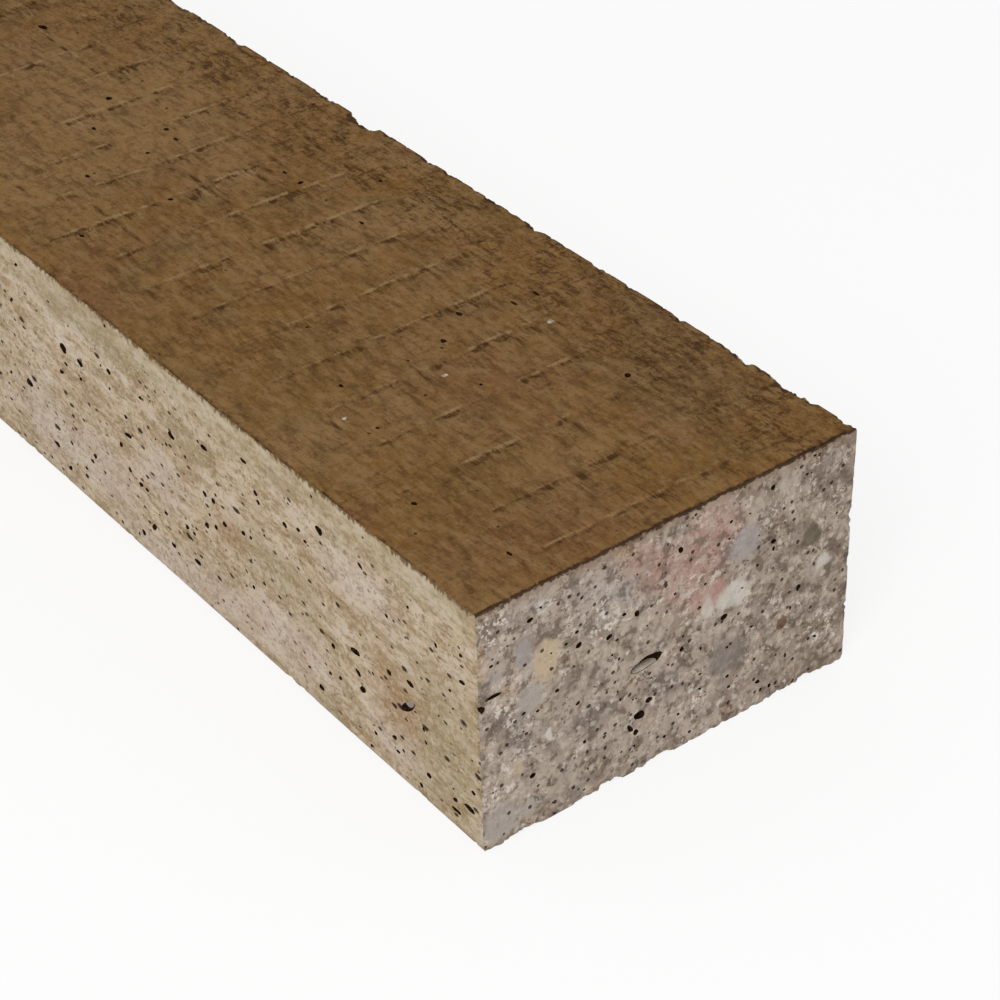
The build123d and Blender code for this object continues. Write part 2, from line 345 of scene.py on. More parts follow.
# Voids in the near sawn end: from the near long side, below the top, half width and height, tilt
END_VOIDS = (
    (13.9, 8.1, 1.0, 0.7, 0),
    (26.1, 17.4, 0.8, 0.7, 0),
    (23.2, 19.1, 0.7, 0.6, 0),
    (26.6, 21.2, 1.0, 0.9, 0),
    (34.8, 23.2, 1.1, 0.8, 10),
    (38.9, 19.1, 0.9, 0.6, -30),
    (42.4, 20.5, 0.8, 1.2, 0),
    (54.3, 9.3, 0.8, 1.2, 30),
    (68.6, 8.7, 0.8, 0.7, 0),
    (80.4, 4.9, 1.1, 0.9, -20),
    (92.5, 1.9, 0.8, 0.5, 0),
    (81.2, 19.9, 1.1, 0.9, 0),
    (81.4, 21.9, 0.7, 0.8, 0),
    (20.7, 30.4, 0.9, 0.7, 0),
    (11.8, 31.9, 0.8, 0.6, 0),
    (15.4, 33.2, 0.7, 0.5, 0),
    (37.5, 30.4, 0.6, 0.7, 0),
    (35.6, 28.4, 0.5, 0.5, 0),
    (26.3, 36.8, 0.9, 0.7, 20),
    (55.2, 36.8, 1.0, 0.8, -30),
    (55.5, 33.4, 0.5, 0.5, 0),
    (67.4, 33.9, 1.3, 1.1, 0),
    (89.6, 36.6, 0.8, 1.2, -10),
    (87.3, 41.3, 0.5, 0.9, 0),
    (13.7, 50.2, 1.0, 0.8, 0),
    (28.0, 48.6, 0.8, 0.7, 0),
    (33.7, 49.3, 0.7, 0.5, 0),
    (37.1, 39.3, 0.5, 0.5, 0),
    (37.9, 42.0, 0.5, 0.6, 0),
    (51.4, 39.3, 0.5, 0.5, 0),
    (60.7, 46.8, 0.7, 0.5, 0),
    (68.9, 51.6, 0.8, 0.6, 0),
    (69.4, 55.0, 0.7, 0.6, 0),
    (78.2, 58.2, 1.0, 0.7, 0),
    (79.3, 60.9, 0.7, 0.8, 0),
    (81.9, 61.2, 0.7, 0.9, 0),
    (95.4, 53.6, 0.9, 0.6, -30),
    (86.5, 54.6, 0.5, 0.8, 0),
    (50.7, 59.5, 0.8, 0.6, -30),
    (58.1, 62.1, 0.7, 0.6, 0),
    (33.4, 56.2, 0.5, 0.5, 0),
    (38.2, 57.1, 0.5, 0.5, 0),
    (41.9, 57.4, 0.6, 0.5, 0),
    (0.9, 25.2, 1.2, 1.3, 0),
    (68.6, 43.2, 0.7, 0.5, 0),
    (75.7, 40.9, 0.7, 0.5, 0),
    (60.7, 39.5, 0.5, 0.7, 0),
    (90.4, 5.9, 0.7, 0.5, 0),
    (76.8, 24.3, 0.6, 0.6, 0),
    (53.0, 20.5, 0.6, 0.5, 0),
    (61.6, 22.1, 0.6, 0.5, 0),
    (43.4, 49.3, 2.5, 1.6, -15),
    (45.9, 46.4, 1.1, 1.1, 0),
    (40.6, 51.8, 0.8, 1.5, 25),
    (42.3, 53.6, 0.8, 1.0, 0),
    (4.3, 23.2, 2.1, 0.6, 0),
    (58.5, 2.2, 0.7, 0.5, 0),
    (68.2, 13.0, 0.5, 0.5, 0),
    (54.5, 55.0, 0.6, 0.6, 0),
)

# Pits in the top: behind the near end, from the near long side, half length, half width
TOP_VOIDS = (
    (93.2, 65.7, 1.2, 0.7),
    (89.0, 78.6, 1.4, 0.5),
    (89.3, 85.5, 1.5, 0.5),
    (86.2, 56.0, 1.0, 0.8),
    (86.0, 27.0, 1.0, 0.6),
    (48.2, 79.6, 1.1, 1.0),
    (38.7, 13.2, 1.1, 0.8),
    (67.0, 23.6, 0.8, 0.7),
    (66.4, 51.8, 0.7, 0.7),
    (12.0, 18.0, 1.0, 0.6),
    (207.9, 32.3, 1.2, 0.7),
    (210.4, 60.4, 1.2, 0.7),
    (216.6, 61.3, 1.0, 0.8),
    (208.7, 50.7, 0.8, 0.9),
    (182.4, 15.7, 1.0, 0.8),
    (183.8, 42.4, 1.0, 0.8),
    (177.0, 72.4, 1.2, 0.6),
    (170.0, 72.5, 1.0, 1.0),
    (157.4, 88.6, 1.0, 0.6),
    (143.0, 72.6, 1.2, 0.5),
    (241.8, 58.7, 1.3, 0.9),
    (229.6, 46.8, 1.2, 0.7),
)

# Stones and patches cut through by the near end: place, half width, half height, tint, softness
END_PATCHES = (
    (63.6, 9.3, 8.0, 7.0, "pink", 0.5),
    (58.6, 19.5, 8.0, 8.0, "pink", 0.5),
    (43.0, 7.0, 6.0, 4.0, "pink", 0.6),
    (50.0, 13.0, 6.5, 4.5, "pink", 0.6),
    (63.5, 26.0, 5.0, 3.0, "pink", 0.4),
    (39.0, 3.2, 3.0, 2.0, "rust", 0.5),
    (73.0, 16.4, 4.5, 4.2, "lilac", 0.3),
    (69.6, 28.9, 4.6, 3.3, "chalk", 0.3),
    (62.4, 28.6, 1.5, 3.0, "chalk", 0.4),
    (17.9, 20.7, 3.2, 5.0, "cream", 0.25),
    (12.1, 15.7, 1.9, 4.0, "lilac", 0.3),
    (13.6, 28.9, 3.2, 3.6, "ash", 0.25),
    (34.6, 13.0, 6.5, 6.0, "ash", 0.7),
    (4.6, 19.3, 2.0, 2.2, "lilac", 0.5),
    (1.6, 13.5, 1.5, 4.0, "rust", 0.6),
    (7.9, 23.8, 2.4, 1.2, "rust", 0.6),
    (92.9, 23.8, 2.8, 2.6, "slate", 0.12),
    (84.9, 44.4, 1.7, 1.9, "umber", 0.1),
    (11.8, 37.5, 5.5, 5.0, "shade", 0.6),
    (29.5, 42.5, 6.0, 3.8, "shade", 0.6),
    (98.0, 7.5, 7.0, 7.0, "shade", 0.7),
    (68.5, 45.7, 6.0, 4.2, "shade", 0.4),
    (50.7, 43.6, 5.0, 4.0, "shade", 0.6),
    (5.0, 58.5, 4.5, 5.0, "ash", 0.4),
    (96.8, 32.5, 2.0, 1.7, "chalk", 0.4),
    (18.4, 41.2, 0.9, 1.5, "chalk", 0.3),
    (84.3, 6.1, 1.6, 1.6, "chalk", 0.6),
    (69.0, 61.2, 1.6, 2.6, "pink", 0.45),
    (17.0, 6.5, 1.6, 1.6, "chalk", 0.6),
    (12.5, 58.5, 2.4, 2.0, "ash", 0.4),
)

# Where crumbs of pale stone show in the near end: place, half width, half height
CRUMB_PATCHES = (
    (33.5, 17.5, 4.5, 6.5),
    (60.5, 20.0, 5.5, 6.0),
    (4.5, 5.5, 4.0, 5.0),
    (4.6, 28.0, 3.5, 3.5),
    (83.0, 11.0, 3.2, 3.0),
    (59.0, 53.5, 4.0, 4.0),
    (97.0, 51.0, 4.5, 4.5),
    (5.0, 50.0, 4.0, 6.0),
)

# Patches of the near long side: behind the near end, below the top, half length, half height,
# tint, softness
SIDE_PATCHES = (
    (74.0, 52.0, 17.0, 7.5, "blush", 0.8),
    (156.0, 49.0, 14.0, 9.0, "blush", 0.6),
    (126.0, 36.0, 9.0, 7.0, "blush", 0.7),
    (128.0, 60.0, 15.0, 5.0, "blush", 0.8),
    (44.0, 17.0, 12.0, 6.0, "blush", 0.8),
    (30.0, 55.0, 10.0, 6.0, "blush", 0.9),
    (95.0, 34.6, 6.0, 3.6, "umber_wash", 0.8),
    (111.0, 17.0, 9.0, 4.0, "moss", 0.8),
    (76.0, 34.0, 14.0, 6.0, "moss", 0.9),
    (60.0, 62.5, 9.0, 2.5, "moss", 0.8),
    (101.0, 57.0, 17.0, 6.0, "blush", 0.8),
    (184.0, 50.0, 12.0, 11.0, "blush", 0.8),
    (13.0, 44.0, 13.0, 18.0, "moss", 0.9),
    (30.0, 42.0, 8.0, 8.0, "umber_wash", 0.9),
    (151.0, 8.0, 9.0, 4.0, "moss", 0.8),
    (170.0, 8.5, 7.0, 4.0, "moss", 0.8),
)

# Patches of the top: behind the near end, across the bar, half length, half width, tint, softness
TOP_PATCHES = (
    (157.0, 3.0, 11.0, 6.0, "russet", 0.8),
    (128.0, 5.0, 16.0, 6.0, "ochre", 0.8),
    (132.0, 100.0, 18.0, 4.0, "ochre", 0.8),
    (236.0, 60.0, 30.0, 26.0, "top_light", 0.9),
    (215.0, 22.0, 30.0, 16.0, "top_light", 0.9),
    (14.0, 26.0, 16.0, 20.0, "russet", 0.9),
    (42.0, 88.0, 22.0, 13.0, "loam", 0.8),
    (62.0, 58.0, 11.0, 14.0, "russet", 0.9),
    (98.0, 28.0, 14.0, 16.0, "ochre", 0.9),
    (36.0, 27.0, 12.0, 15.0, "ochre", 0.9),
    (70.0, 100.0, 16.0, 5.0, "loam", 0.8),
    (74.6, 19.9, 0.42, 0.42, "chalk", 0.4),
    (74.5, 48.0, 0.48, 0.48, "chalk", 0.4),
    (77.0, 79.8, 0.5, 0.5, "chalk", 0.4),
)

# The pale specks of the top, which keep their round outline
TOP_SPECKS = tuple(patch for patch in TOP_PATCHES if patch[4] == "chalk")

# The stones of the end that the saw left sharp, and the pink ones, which show through the sand
SHARP_STONES = tuple(patch for patch in END_PATCHES if patch[5] < 0.45)
PINK_STONES = END_PATCHES[:5]


def apart(distance):
    """Return a move that takes an effect elsewhere, so that no two of them agree."""
    return (distance, 1.7 * distance, 0.6 * distance)


# Effects of each finish: name, group or noise, how far it is moved, and its own values
HERE = (0.0, 0.0, 0.0)
TOP_EFFECTS = (
    ("tan", "blotches", apart(0.0), dict(size=24.0, low=0.38, high=0.66)),
    ("olive", "blotches", apart(90.0), dict(size=17.0, low=0.48, high=0.7)),
    ("reddish", "blotches", apart(40.0), dict(size=20.0, low=0.5, high=0.72)),
    ("loamy", "blotches", apart(10.0), dict(size=9.0, low=0.5, high=0.7)),
    ("scored", "blotches", apart(65.0), dict(size=13.0, low=0.44, high=0.54)),
    ("wide", "streaks", HERE, dict(width=1.5, stretch=6.0)),
    ("fine", "streaks", HERE, dict(width=0.55, stretch=3.8)),
    ("crosswise", "crosswise", HERE, dict(width=0.7, stretch=5.5)),
    ("scores", "streaks", (31.0, 17.0, 0.0), dict(width=1.6, stretch=3.5)),
    ("cuts", "crosswise", (31.0, 17.0, 0.0), dict(width=1.7, stretch=5.5)),
    ("deep", "streaks", (38.0, 26.0, 0.0), dict(width=2.3, stretch=2.6)),
    ("grain", "grain", HERE, dict(size=1.1)),
    ("pores", "pinholes", HERE, dict(spacing=4.6, radius=0.4, share=0.35)),
    ("ragged", "noise", HERE, dict(size=2.2, detail=3.0, roughness=0.7)),
)
SIDE_EFFECTS = (
    ("pale", "blotches", apart(40.0), dict(size=18.0, low=0.5, high=0.7)),
    ("greenish", "blotches", apart(70.0), dict(size=14.0, low=0.5, high=0.7)),
    ("brownish", "blotches", apart(15.0), dict(size=10.0, low=0.54, high=0.74)),
    ("pitted", "blotches", apart(25.0), dict(size=14.0, low=0.36, high=0.52)),
    ("lines", "streaks", HERE, dict(width=1.5, stretch=2.4)),
    ("thin", "streaks", HERE, dict(width=0.7, stretch=3.0)),
    ("bands", "streaks", HERE, dict(width=3.6, stretch=2.6)),
    ("grain", "grain", HERE, dict(size=1.25)),
    ("foot", "noise", HERE, dict(size=3.0, detail=3.0, roughness=0.7)),
)
BRISTLES = (("bristles", "noise", HERE, dict(size=1.1, detail=2.0, roughness=0.6)),)
LEANING_PORES = (
    ("small", "pinholes", HERE, dict(spacing=2.3, radius=0.42, share=0.6)),
    ("large", "pinholes", HERE, dict(spacing=4.8, radius=0.66, share=0.45)),
)
END_EFFECTS = (
    ("grey", "blotches", apart(0.0), dict(size=9.0, low=0.42, high=0.62)),
    ("dull", "blotches", apart(30.0), dict(size=12.0, low=0.5, high=0.7)),
    ("tan", "blotches", apart(60.0), dict(size=11.0, low=0.52, high=0.7)),
    ("busy", "blotches", apart(17.0), dict(size=6.0, low=0.36, high=0.64)),
    ("bright", "blotches", apart(53.0), dict(size=5.0, low=0.45, high=0.65)),
    ("pores", "pinholes", HERE, dict(spacing=2.4, radius=0.42, share=0.5)),
    ("mottle", "noise", (3.0, 8.0, 5.0), dict(size=3.2, detail=2.0, roughness=0.55)),
    ("cloud", "noise", (13.0, 2.0, 9.0), dict(size=8.0, detail=2.0, roughness=0.55)),
    ("speck", "noise", HERE, dict(size=0.95, detail=2.0, roughness=0.6)),
    ("sand", "noise", (9.0, 4.0, 7.0), dict(size=1.8, detail=2.0, roughness=0.65)),
    ("stain", "noise", HERE, dict(size=5.0, detail=3.0, roughness=0.6)),
    ("crumbs", "noise", HERE, dict(size=1.3, detail=2.0, roughness=0.6)),
)
SOFFIT_EFFECTS = (
    ("cloud", "blotches", HERE, dict(size=30.0, low=0.4, high=0.65)),
    ("stain", "blotches", (60.0, 0.0, 0.0), dict(size=14.0, low=0.55, high=0.75)),
    ("lines", "streaks", HERE, dict(width=2.0, stretch=16.0)),
    ("grain", "grain", HERE, dict(size=0.9)),
    ("pores", "pinholes", HERE, dict(spacing=5.0, radius=0.45, share=0.4)),
)
HOLE_EFFECTS = (("dust", "grain", HERE, dict(size=0.7)),)
PEBBLE_EFFECTS = (
    ("cloud", "blotches", HERE, dict(size=2.5, low=0.4, high=0.65)),
    ("speckle", "grain", HERE, dict(size=0.6)),
)

# Bump of each finish: effect, share of its height, and the masks that it keeps to
TOP_RELIEF = (
    ("grain", 1.0, "rough"),
    ("wide", 0.9, "lively"),
    ("fine", 0.8, "lively"),
    ("crosswise", 0.5),
    ("scores", 2.2, "scored"),
    ("cuts", 1.8, "scored"),
    ("torn", -0.12),
    ("pores", 1.0),
)
SIDE_RELIEF = (
    ("grain", 1.0, "calm"),
    ("lines", 0.6),
    ("thin", 0.7),
    ("small", 1.0, "crowd"),
    ("large", 1.0, "upper"),
)
END_RELIEF = (("speck", 0.16), ("sand", 0.18), ("pores", 1.0), ("grit", 0.05))
SOFFIT_RELIEF = (("grain", 0.4), ("pores", 1.0))
HOLE_RELIEF = (("dust", 1.0),)
PEBBLE_RELIEF = (("speckle", 0.5),)

# Roughness and shine of each finish; the top's roughness rises where it is torn
TORN_ROUGHNESS = (0.0, 1.0, 0.84, 0.96)
TOP_SHINE = 0.08
SIDE_GLOSS = (0.92, 0.12)
END_GLOSS = (0.9, 0.15)
SOFFIT_GLOSS = (0.82, 0.25)
HOLE_GLOSS = (1.0, 0.0)
PEBBLE_GLOSS = (0.75, 0.2)

# In the lists for top, side and end, two numbers are a factor and what is added, or the values
# that an effect rises between, and four are those values and what it rises from and to

# The top: the calmer strip by the near long side, how lively, scored and rough the top is there
# and elsewhere, how teeth break up the painted shade of the tears and gaps break up the painted
# highlight of the lips, and the ragged edge of the skin
CALM_STRIP = (20.0, 34.0)
LIVELY_COMBED = (1.3, 0.4)
LIVELY_STRIP = 0.3
SCORED_STRIP = (0.5, 0.5)
ROUGH_STRIP = (0.4, 0.4)
TORN_TEETH = (0.54, 0.42, 0.3, 1.0)
TORN_RISE = (0.02, 0.35, 0.0, 0.85)
LIP_HIGHLIGHT_GAPS = (0.34, 0.56, 0.45, 1.15)
RAGGED_DEPTH = 2.6

# The side: how it calms down towards the top and where it is pale, how its pores lean and thin
# out, and the bristles of skin above it and the dark foot below
SIDE_CALM = (HEIGHT - 10.0, HEIGHT - 3.0, 1.1, 0.5)
PALE_CALM = (-0.45, 1.0)
PORE_LEAN = math.radians(-32)
PORE_STRETCH = (0.55, 1.0, 1.0)
PORES_THIN_OUT = (HEIGHT - 10.0, HEIGHT - 4.0, 1.0, 0.12)
BRISTLE_STRETCH = (1.0, 1.0, 0.3)
SIDE_HANGING = (("bristles", 4.6), ("foot", 3.0))

# The end: crumbs, dark and pale sand and grit, the tints of the chance stones, where those
# stones thin out, and how far stain and crumbs of skin hang down
CRUMB_SOFTNESS = 0.5
CRUMB_STRENGTH = 1.3
DARK_SAND = (0.6, 0.12)
PALE_SAND = (0.6, 0.08)
GRIT_SHARE = (0.45, 0.2)
GRIT_TONES = (0.45, 0.55)
STONE_HUES = (0.35, 0.65)
CREAM_STONES = (0.72, 0.9)
SLATE_STONES = (0.2, 0.08)
CHANCE_STONES = (-END_X / 2, 0.0, 0.95, 0.5)
STONE_SIZES = dict(size=6.5, share=0.5)
GRIT_SIZES = dict(size=2.1, share=0.6)
END_HANGING = (("stain", 1.6), ("crumbs", 2.4))

# Where a pebble counts as one in the side
PEBBLE_IN_SIDE = (END_X - 12.0, END_X - 8.0, 0.85, 0.0)

# How noise pushes the outlines of patches about: size of its lumps, and how far
TOP_WARP = (8.0, 3.0)
SIDE_WARP = (7.0, 3.0)
END_WARP = (2.2, 1.3)
WARP_NOISE = dict(detail=3.0, roughness=0.65)

# Patches: how far into the bar they reach from each face, and how strongly they tint it
PATCH_DEPTHS = {"top": 9.0, "near_side": 6.0, "near_end": 6.0}
TOP_TINT = 0.7
SPECK_TINT = 0.75
SIDE_TINT = 0.85
SIDE_TINT_AGAIN = 0.55
END_TINT = 0.9
SHARP_TINT = 0.72
PINK_TINT = 0.2

# What is laid over each finish, in order: pattern, values that the tint rises between (None
# takes the pattern as it is), strength, tint, and the masks that it keeps to
TOP_CLOUDS = (
    ("tan", None, 1.0, "top_tan"),
    ("olive", (0.0, 1.0), 0.5, "top_olive"),
    ("reddish", (0.0, 1.0), 0.65, "russet"),
    ("loamy", (0.0, 1.0), 0.4, "loam"),
)
TOP_MARKS = (
    ("wide", (0.52, 0.72), 0.5, "top_light", "lively"),
    ("wide", (0.48, 0.28), 0.6, "top_dark_and_groove_shade", "lively"),
    ("fine", (0.54, 0.74), 0.5, "top_light", "lively"),
    ("fine", (0.47, 0.28), 0.75, "top_dark_and_groove_shade", "lively"),
    ("crosswise", (0.56, 0.76), 0.22, "top_light"),
    ("crosswise", (0.45, 0.27), 0.3, "top_dark_and_groove_shade"),
    ("scores", (0.47, 0.41), 0.75, "top_dark_and_groove_shade", "scored"),
    ("scores", (0.54, 0.60), 0.45, "top_light", "scored"),
    ("cuts", (0.45, 0.39), 0.55, "top_dark_and_groove_shade", "scored"),
    ("deep", (0.47, 0.38), 0.38, "top_brown"),
    ("deep", (0.53, 0.62), 0.42, "top_rubbed"),
    ("grain", (0.58, 0.80), 0.5, "top_light", "rough"),
    ("grain", (0.44, 0.24), 0.6, "top_dark_and_groove_shade", "rough"),
    # Painted shade laid in the torn grooves and teeth
    ("torn", None, 1.0, "top_dark_and_groove_shade"),
    # Painted highlight on the lips and ridges
    ("ridged", (0.04, 0.7), 0.7, "top_lip_highlight"),
    # Pinholes painted near black as the shade inside them
    ("pores", None, 0.75, "hollow_shade"),
)
TOP_EDGES = (
    ("from_end", (2.5, 1.5), 0.9, "arris"),
    ("from_side", (2.4, 1.2), 0.8, "arris"),
    ("broken", (0.2, 1.0), 0.8, "skin_broken"),
)
SIDE_CLOUDS = (
    ("pale", (0.0, 1.0), 0.5, "blush"),
    ("greenish", (0.0, 1.0), 0.6, "moss"),
    ("brownish", (0.0, 1.0), 0.4, "umber_wash"),
    ("lines", (0.47, 0.38), 0.55, "side_dark"),
    ("lines", (0.54, 0.63), 0.45, "side_light"),
    ("bands", (0.48, 0.40), 0.62, "side_dull"),
    ("bands", (0.53, 0.62), 0.7, "side_chalky"),
)
SIDE_MARKS = (
    ("level", (HEIGHT - 13.0, HEIGHT - 6.0), 0.35, "moss"),
    ("thin", (0.47, 0.28), 0.5, "side_dark", "calm"),
    ("thin", (0.55, 0.75), 0.4, "side_light", "calm"),
    ("grain", (0.56, 0.8), 0.4, "side_light", "calm"),
    ("grain", (0.42, 0.22), 0.45, "side_dark", "calm"),
    ("crowd", None, 0.16, "umber_wash"),
    # Pinholes painted near black as the shade inside them
    ("pores", None, 0.95, "side_pore_shade"),
    ("bristles", (HEIGHT + 1.0, HEIGHT + 2.1), 0.85, "skin_drip"),
    ("foot", (2.6, 1.6), 0.4, "side_dark"),
    ("broken", (0.0, 1.0), 0.4, "side_dark"),
)
END_CLOUDS = (
    ("grey", (0.0, 1.0), 0.5, "end_grey"),
    ("dull", (0.0, 1.0), 0.5, "shade"),
    ("tan", (0.0, 1.0), 0.5, "end_tan"),
)
END_MOTTLES = (
    # Darker towards the far long side
    ("across", (12.0, 46.0), 0.55, "end_khaki"),
    ("mottle", (0.52, 0.61), 0.65, "mottle_light"),
    ("mottle", (0.47, 0.38), 0.75, "mottle_dark"),
    ("cloud", (0.52, 0.60), 0.45, "cloud_light"),
    ("cloud", (0.48, 0.39), 0.5, "cloud_dark"),
)
END_SAND = (
    ("speck", (0.41, 0.34), 0.8, "end_dark", "dark_share"),
    ("speck", (0.58, 0.65), 0.8, "end_light", "light_share"),
    ("sand", (0.42, 0.36), 1.0, "end_dark", "dark_share"),
    ("sand", (0.57, 0.63), 1.0, "end_light", "light_share"),
)
END_EDGES = (
    # Pinholes painted near black as the shade inside them
    ("pores", None, 0.9, "end_pore_shade"),
    ("stain", (HEIGHT - 2.6, HEIGHT - 0.4), 0.4, "skin_stain"),
    ("crumbs", (HEIGHT + 0.2, HEIGHT + 0.8), 0.95, "skin_broken"),
    ("broken", (0.0, 1.0), 0.3, "end_dark"),
)
# Paler grains as painted light on the walls of the holes
HOLE_MARKS = (("dust", (0.4, 0.8), 0.5, "hollow_lit_grain"),)
PEBBLE_MARKS = (
    ("cloud", None, 1.0, "pebble_light"),
    ("in_side", None, 1.0, "pebble_grey"),
    ("speckle", (0.45, 0.25), 0.4, "end_dark"),
)
SOFFIT_MARKS = (
    ("cloud", None, 0.5, "side"),
    ("stain", None, 0.4, "moss"),
    ("lines", (0.55, 0.3), 0.25, "side_dark"),
    ("grain", (0.6, 0.85), 0.35, "side_light"),
    ("grain", (0.4, 0.2), 0.35, "side_dark"),
    # Pinholes painted near black as the shade inside them
    ("pores", None, 0.8, "hollow_shade"),
)

# Grains of sand: size of the fine grains and of the clouds beside the coarse ones, shares of
# coarse, fine and cloud in the tone, a grain's rim, shares of both in the height, and its height
FINE_GRAIN = 0.43
GRAIN_CLOUD = 0.8
GRAIN_CLOUD_NOISE = dict(detail=3.0, roughness=0.7)
GRAIN_TONES = (0.42, 0.3, 0.28)
GRAIN_RIM = (0.0, 0.75, 1.0, 0.0)
GRAIN_HEIGHTS = (0.6, 0.25)
GRAIN_RELIEF = 0.12

# Pinholes: least size beside the largest, lumps in their outline, their rim and their depth
PINHOLE_LEAST = 0.35
PINHOLE_LUMPS = 1.5
PINHOLE_NOISE = dict(detail=1.0)
PINHOLE_RIM = (0.55, 1.05, 1.0, 0.0)
PINHOLE_DEPTH = -0.9

# Cut stones: size of the lumps in their outline, how far those push it, and their rim
STONE_LUMPS = 0.6
STONE_LUMP_NOISE = dict(detail=3.0, roughness=0.6)
STONE_PUSH = 0.75
STONE_RIM = (0.30, 0.48, 1.0, 0.0)

# Mean of the noise that the effects are made from
NOISE_MEAN = 0.5

# Blotches and streaks: their noise, and the height of a streak
BLOTCH_NOISE = dict(detail=4.0, roughness=0.6)
STREAK_NOISE = dict(detail=3.0, roughness=0.65)
STREAK_RELIEF = 0.3

# Sockets of the mix node: its share, its two colours and its result
MIX_SHARE, MIX_FIRST, MIX_SECOND, MIXED = 0, 6, 7, 2

# The studio, in metres: the floor's half width and how white the camera sees it, and the lamp's
# width, its place and what it points at
FLOOR_REACH = 4.0
FLOOR_WHITENESS = 0.8
LAMP_WIDTH = 1.1
LAMP_PLACE = (1.15, -1.25, 1.3)
LAMP_AIM = (0.15, 0.0, 0.03)

# The camera: its place in millimetres, where it looks, what lies to its right, and its sensor
CAMERA_PLACE = (638.4, -295.3, 394.5)
CAMERA_AHEAD = (-0.65189, 0.48146, -0.58587)
CAMERA_RIGHT = (0.60779, 0.79373, -0.02400)
SENSOR_WIDTH = 36.0
NEAREST_SEEN = 0.01

# Chance blow holes: face, how many, least and most half size, and the stretch that they keep to
CHANCE_VOIDS = (
    ("near_side", 90, 0.34, 0.62, (2.0, 250.0)),
    ("near_side", 75, 0.50, 1.60, (187.0, LENGTH - 3.0)),
    ("far_side", 120, 0.50, 1.70, (3.0, LENGTH - 3.0)),
    ("far_end", 45, 0.40, 1.30, (3.0, WIDTH - 3.0)),
    ("near_end", 60, 0.24, 0.40, (2.0, WIDTH - 2.0)),
    ("soffit", 26, 0.60, 1.80, (6.0, LENGTH - 6.0)),
    ("top", 22, 0.50, 1.10, (245.0, LENGTH - 5.0)),
)

# How much of its measured size a blow hole's mouth takes before its rim crumbles
MOUTH_SHARE = 0.82

# Depth of the voids, as shares of their smaller half size, and of the socket's width
CAST_VOID_DEPTH = 1.3
TOP_VOID_DEPTH = 0.7
CHANCE_VOID_DEPTH = 1.15
SOCKET_DEPTH = 0.62

# Chance blow holes: how far the small ones outnumber the large, how long, how tilted, how far
# from an edge and how far apart
CHANCE_SEED = 11
SMALL_BIAS = 2.2
CHANCE_STRETCH = (1.0, 1.7)
CHANCE_TILT = (-35, 35)
VOID_MARGIN = 2.0
VOID_CLEARANCE = 0.2

# How uneven the voids and the pebbles are, how fine each size of them is, and those sizes, then
# how many lumps a ball has across its radius, and how far apart the balls' noise is taken
VOID_UNEVENNESS = 0.42
VOID_LEVELS = (1, 2, 3)
PEBBLE_UNEVENNESS = 0.06
PEBBLE_LEVELS = (2, 3, 4)
LARGER_BALLS = (0.8, 2.2)
BALL_LUMPS = 1.1
BALL_SHIFT = 5.3
BALL_SEED = 41

# The pebble's socket in the near end: from the near long side, below the top, length, width
SOCKET = (45.4, 35.5, 7.8, 3.7)

# Pebbles that show in a hollow: face, place along and across it, three half sizes, tilt, and how
# deep they start
PEBBLES = (
    ("near_end", 46.0, 37.95, 6.5, 1.8, 2.0, 0, -1.0),
    ("near_side", 25.6, 39.6, 1.7, 1.25, 1.4, -30, -0.7),
)

# How far below the faces the pebbles are cut off
PEBBLE_SUNK = 0.26


def srgb(red, green, blue):
    """Return the colour that shows as these 0 to 255 values, as the shader's own numbers."""
    shares = (red / 255, green / 255, blue / 255)
    return tuple(((s + 0.055) / 1.055) ** 2.4 if s > 0.04045 else s / 12.92 for s in shares)


def colour_setting(name, description, red, green, blue):
    """Return a colour that a user can change, with its default."""
    return bpy.props.FloatVectorProperty(
        name=name,
        description=description,
        subtype="COLOR",
        size=3,
        min=0.0,
        max=1.0,
        default=srgb(red, green, blue),
    )


def length_setting(name, description, millimetres):
    """Return a length that a user can change, with its default given in millimetres."""
    return bpy.props.FloatProperty(
        name=name,
        description=description,
        subtype="DISTANCE",
        unit="LENGTH",
        default=millimetres * MM,
        precision=5,
    )


class LintelFormSettings(bpy.types.PropertyGroup):
    """Sizes of the cast body and its relief."""

    fine_step: length_setting("Fine step", "Mesh spacing on the near half", 0.55)
    coarse_step: length_setting("Coarse step", "Mesh spacing on the far half", 1.5)
    fine_reach: length_setting("Fine reach", "How far behind the near end the fine mesh goes", 275)
    face_budget: bpy.props.IntProperty(
        name="Face budget",
        description="Triangles kept on the body before its voids are sunk",
        default=128000,
    )
    mould_radius: length_setting("Mould radius", "Rounding of the two lower long edges", 1.6)
    trowel_radius: length_setting("Trowel radius", "Rounding of the two upper long edges", 0.9)
    tear_width: length_setting("Tear width", "Width of the groove of one tear", 1.5)
    lip_width: length_setting("Lip width", "Width of the ridge behind a tear", 1.3)
    comb_reach: length_setting("Comb reach", "Longest scratch that trails from a tear", 9.0)
    side_relief: length_setting("Side relief", "Depth of the cast sides' unevenness", 0.16)
    end_relief: length_setting("End relief", "Depth of the sawn ends' unevenness", 0.12)
    sharp_angle: bpy.props.FloatProperty(
        name="Sharp angle",
        description="Edges that turn by more than this are drawn sharp",
        subtype="ANGLE",
        default=math.radians(42),
    )


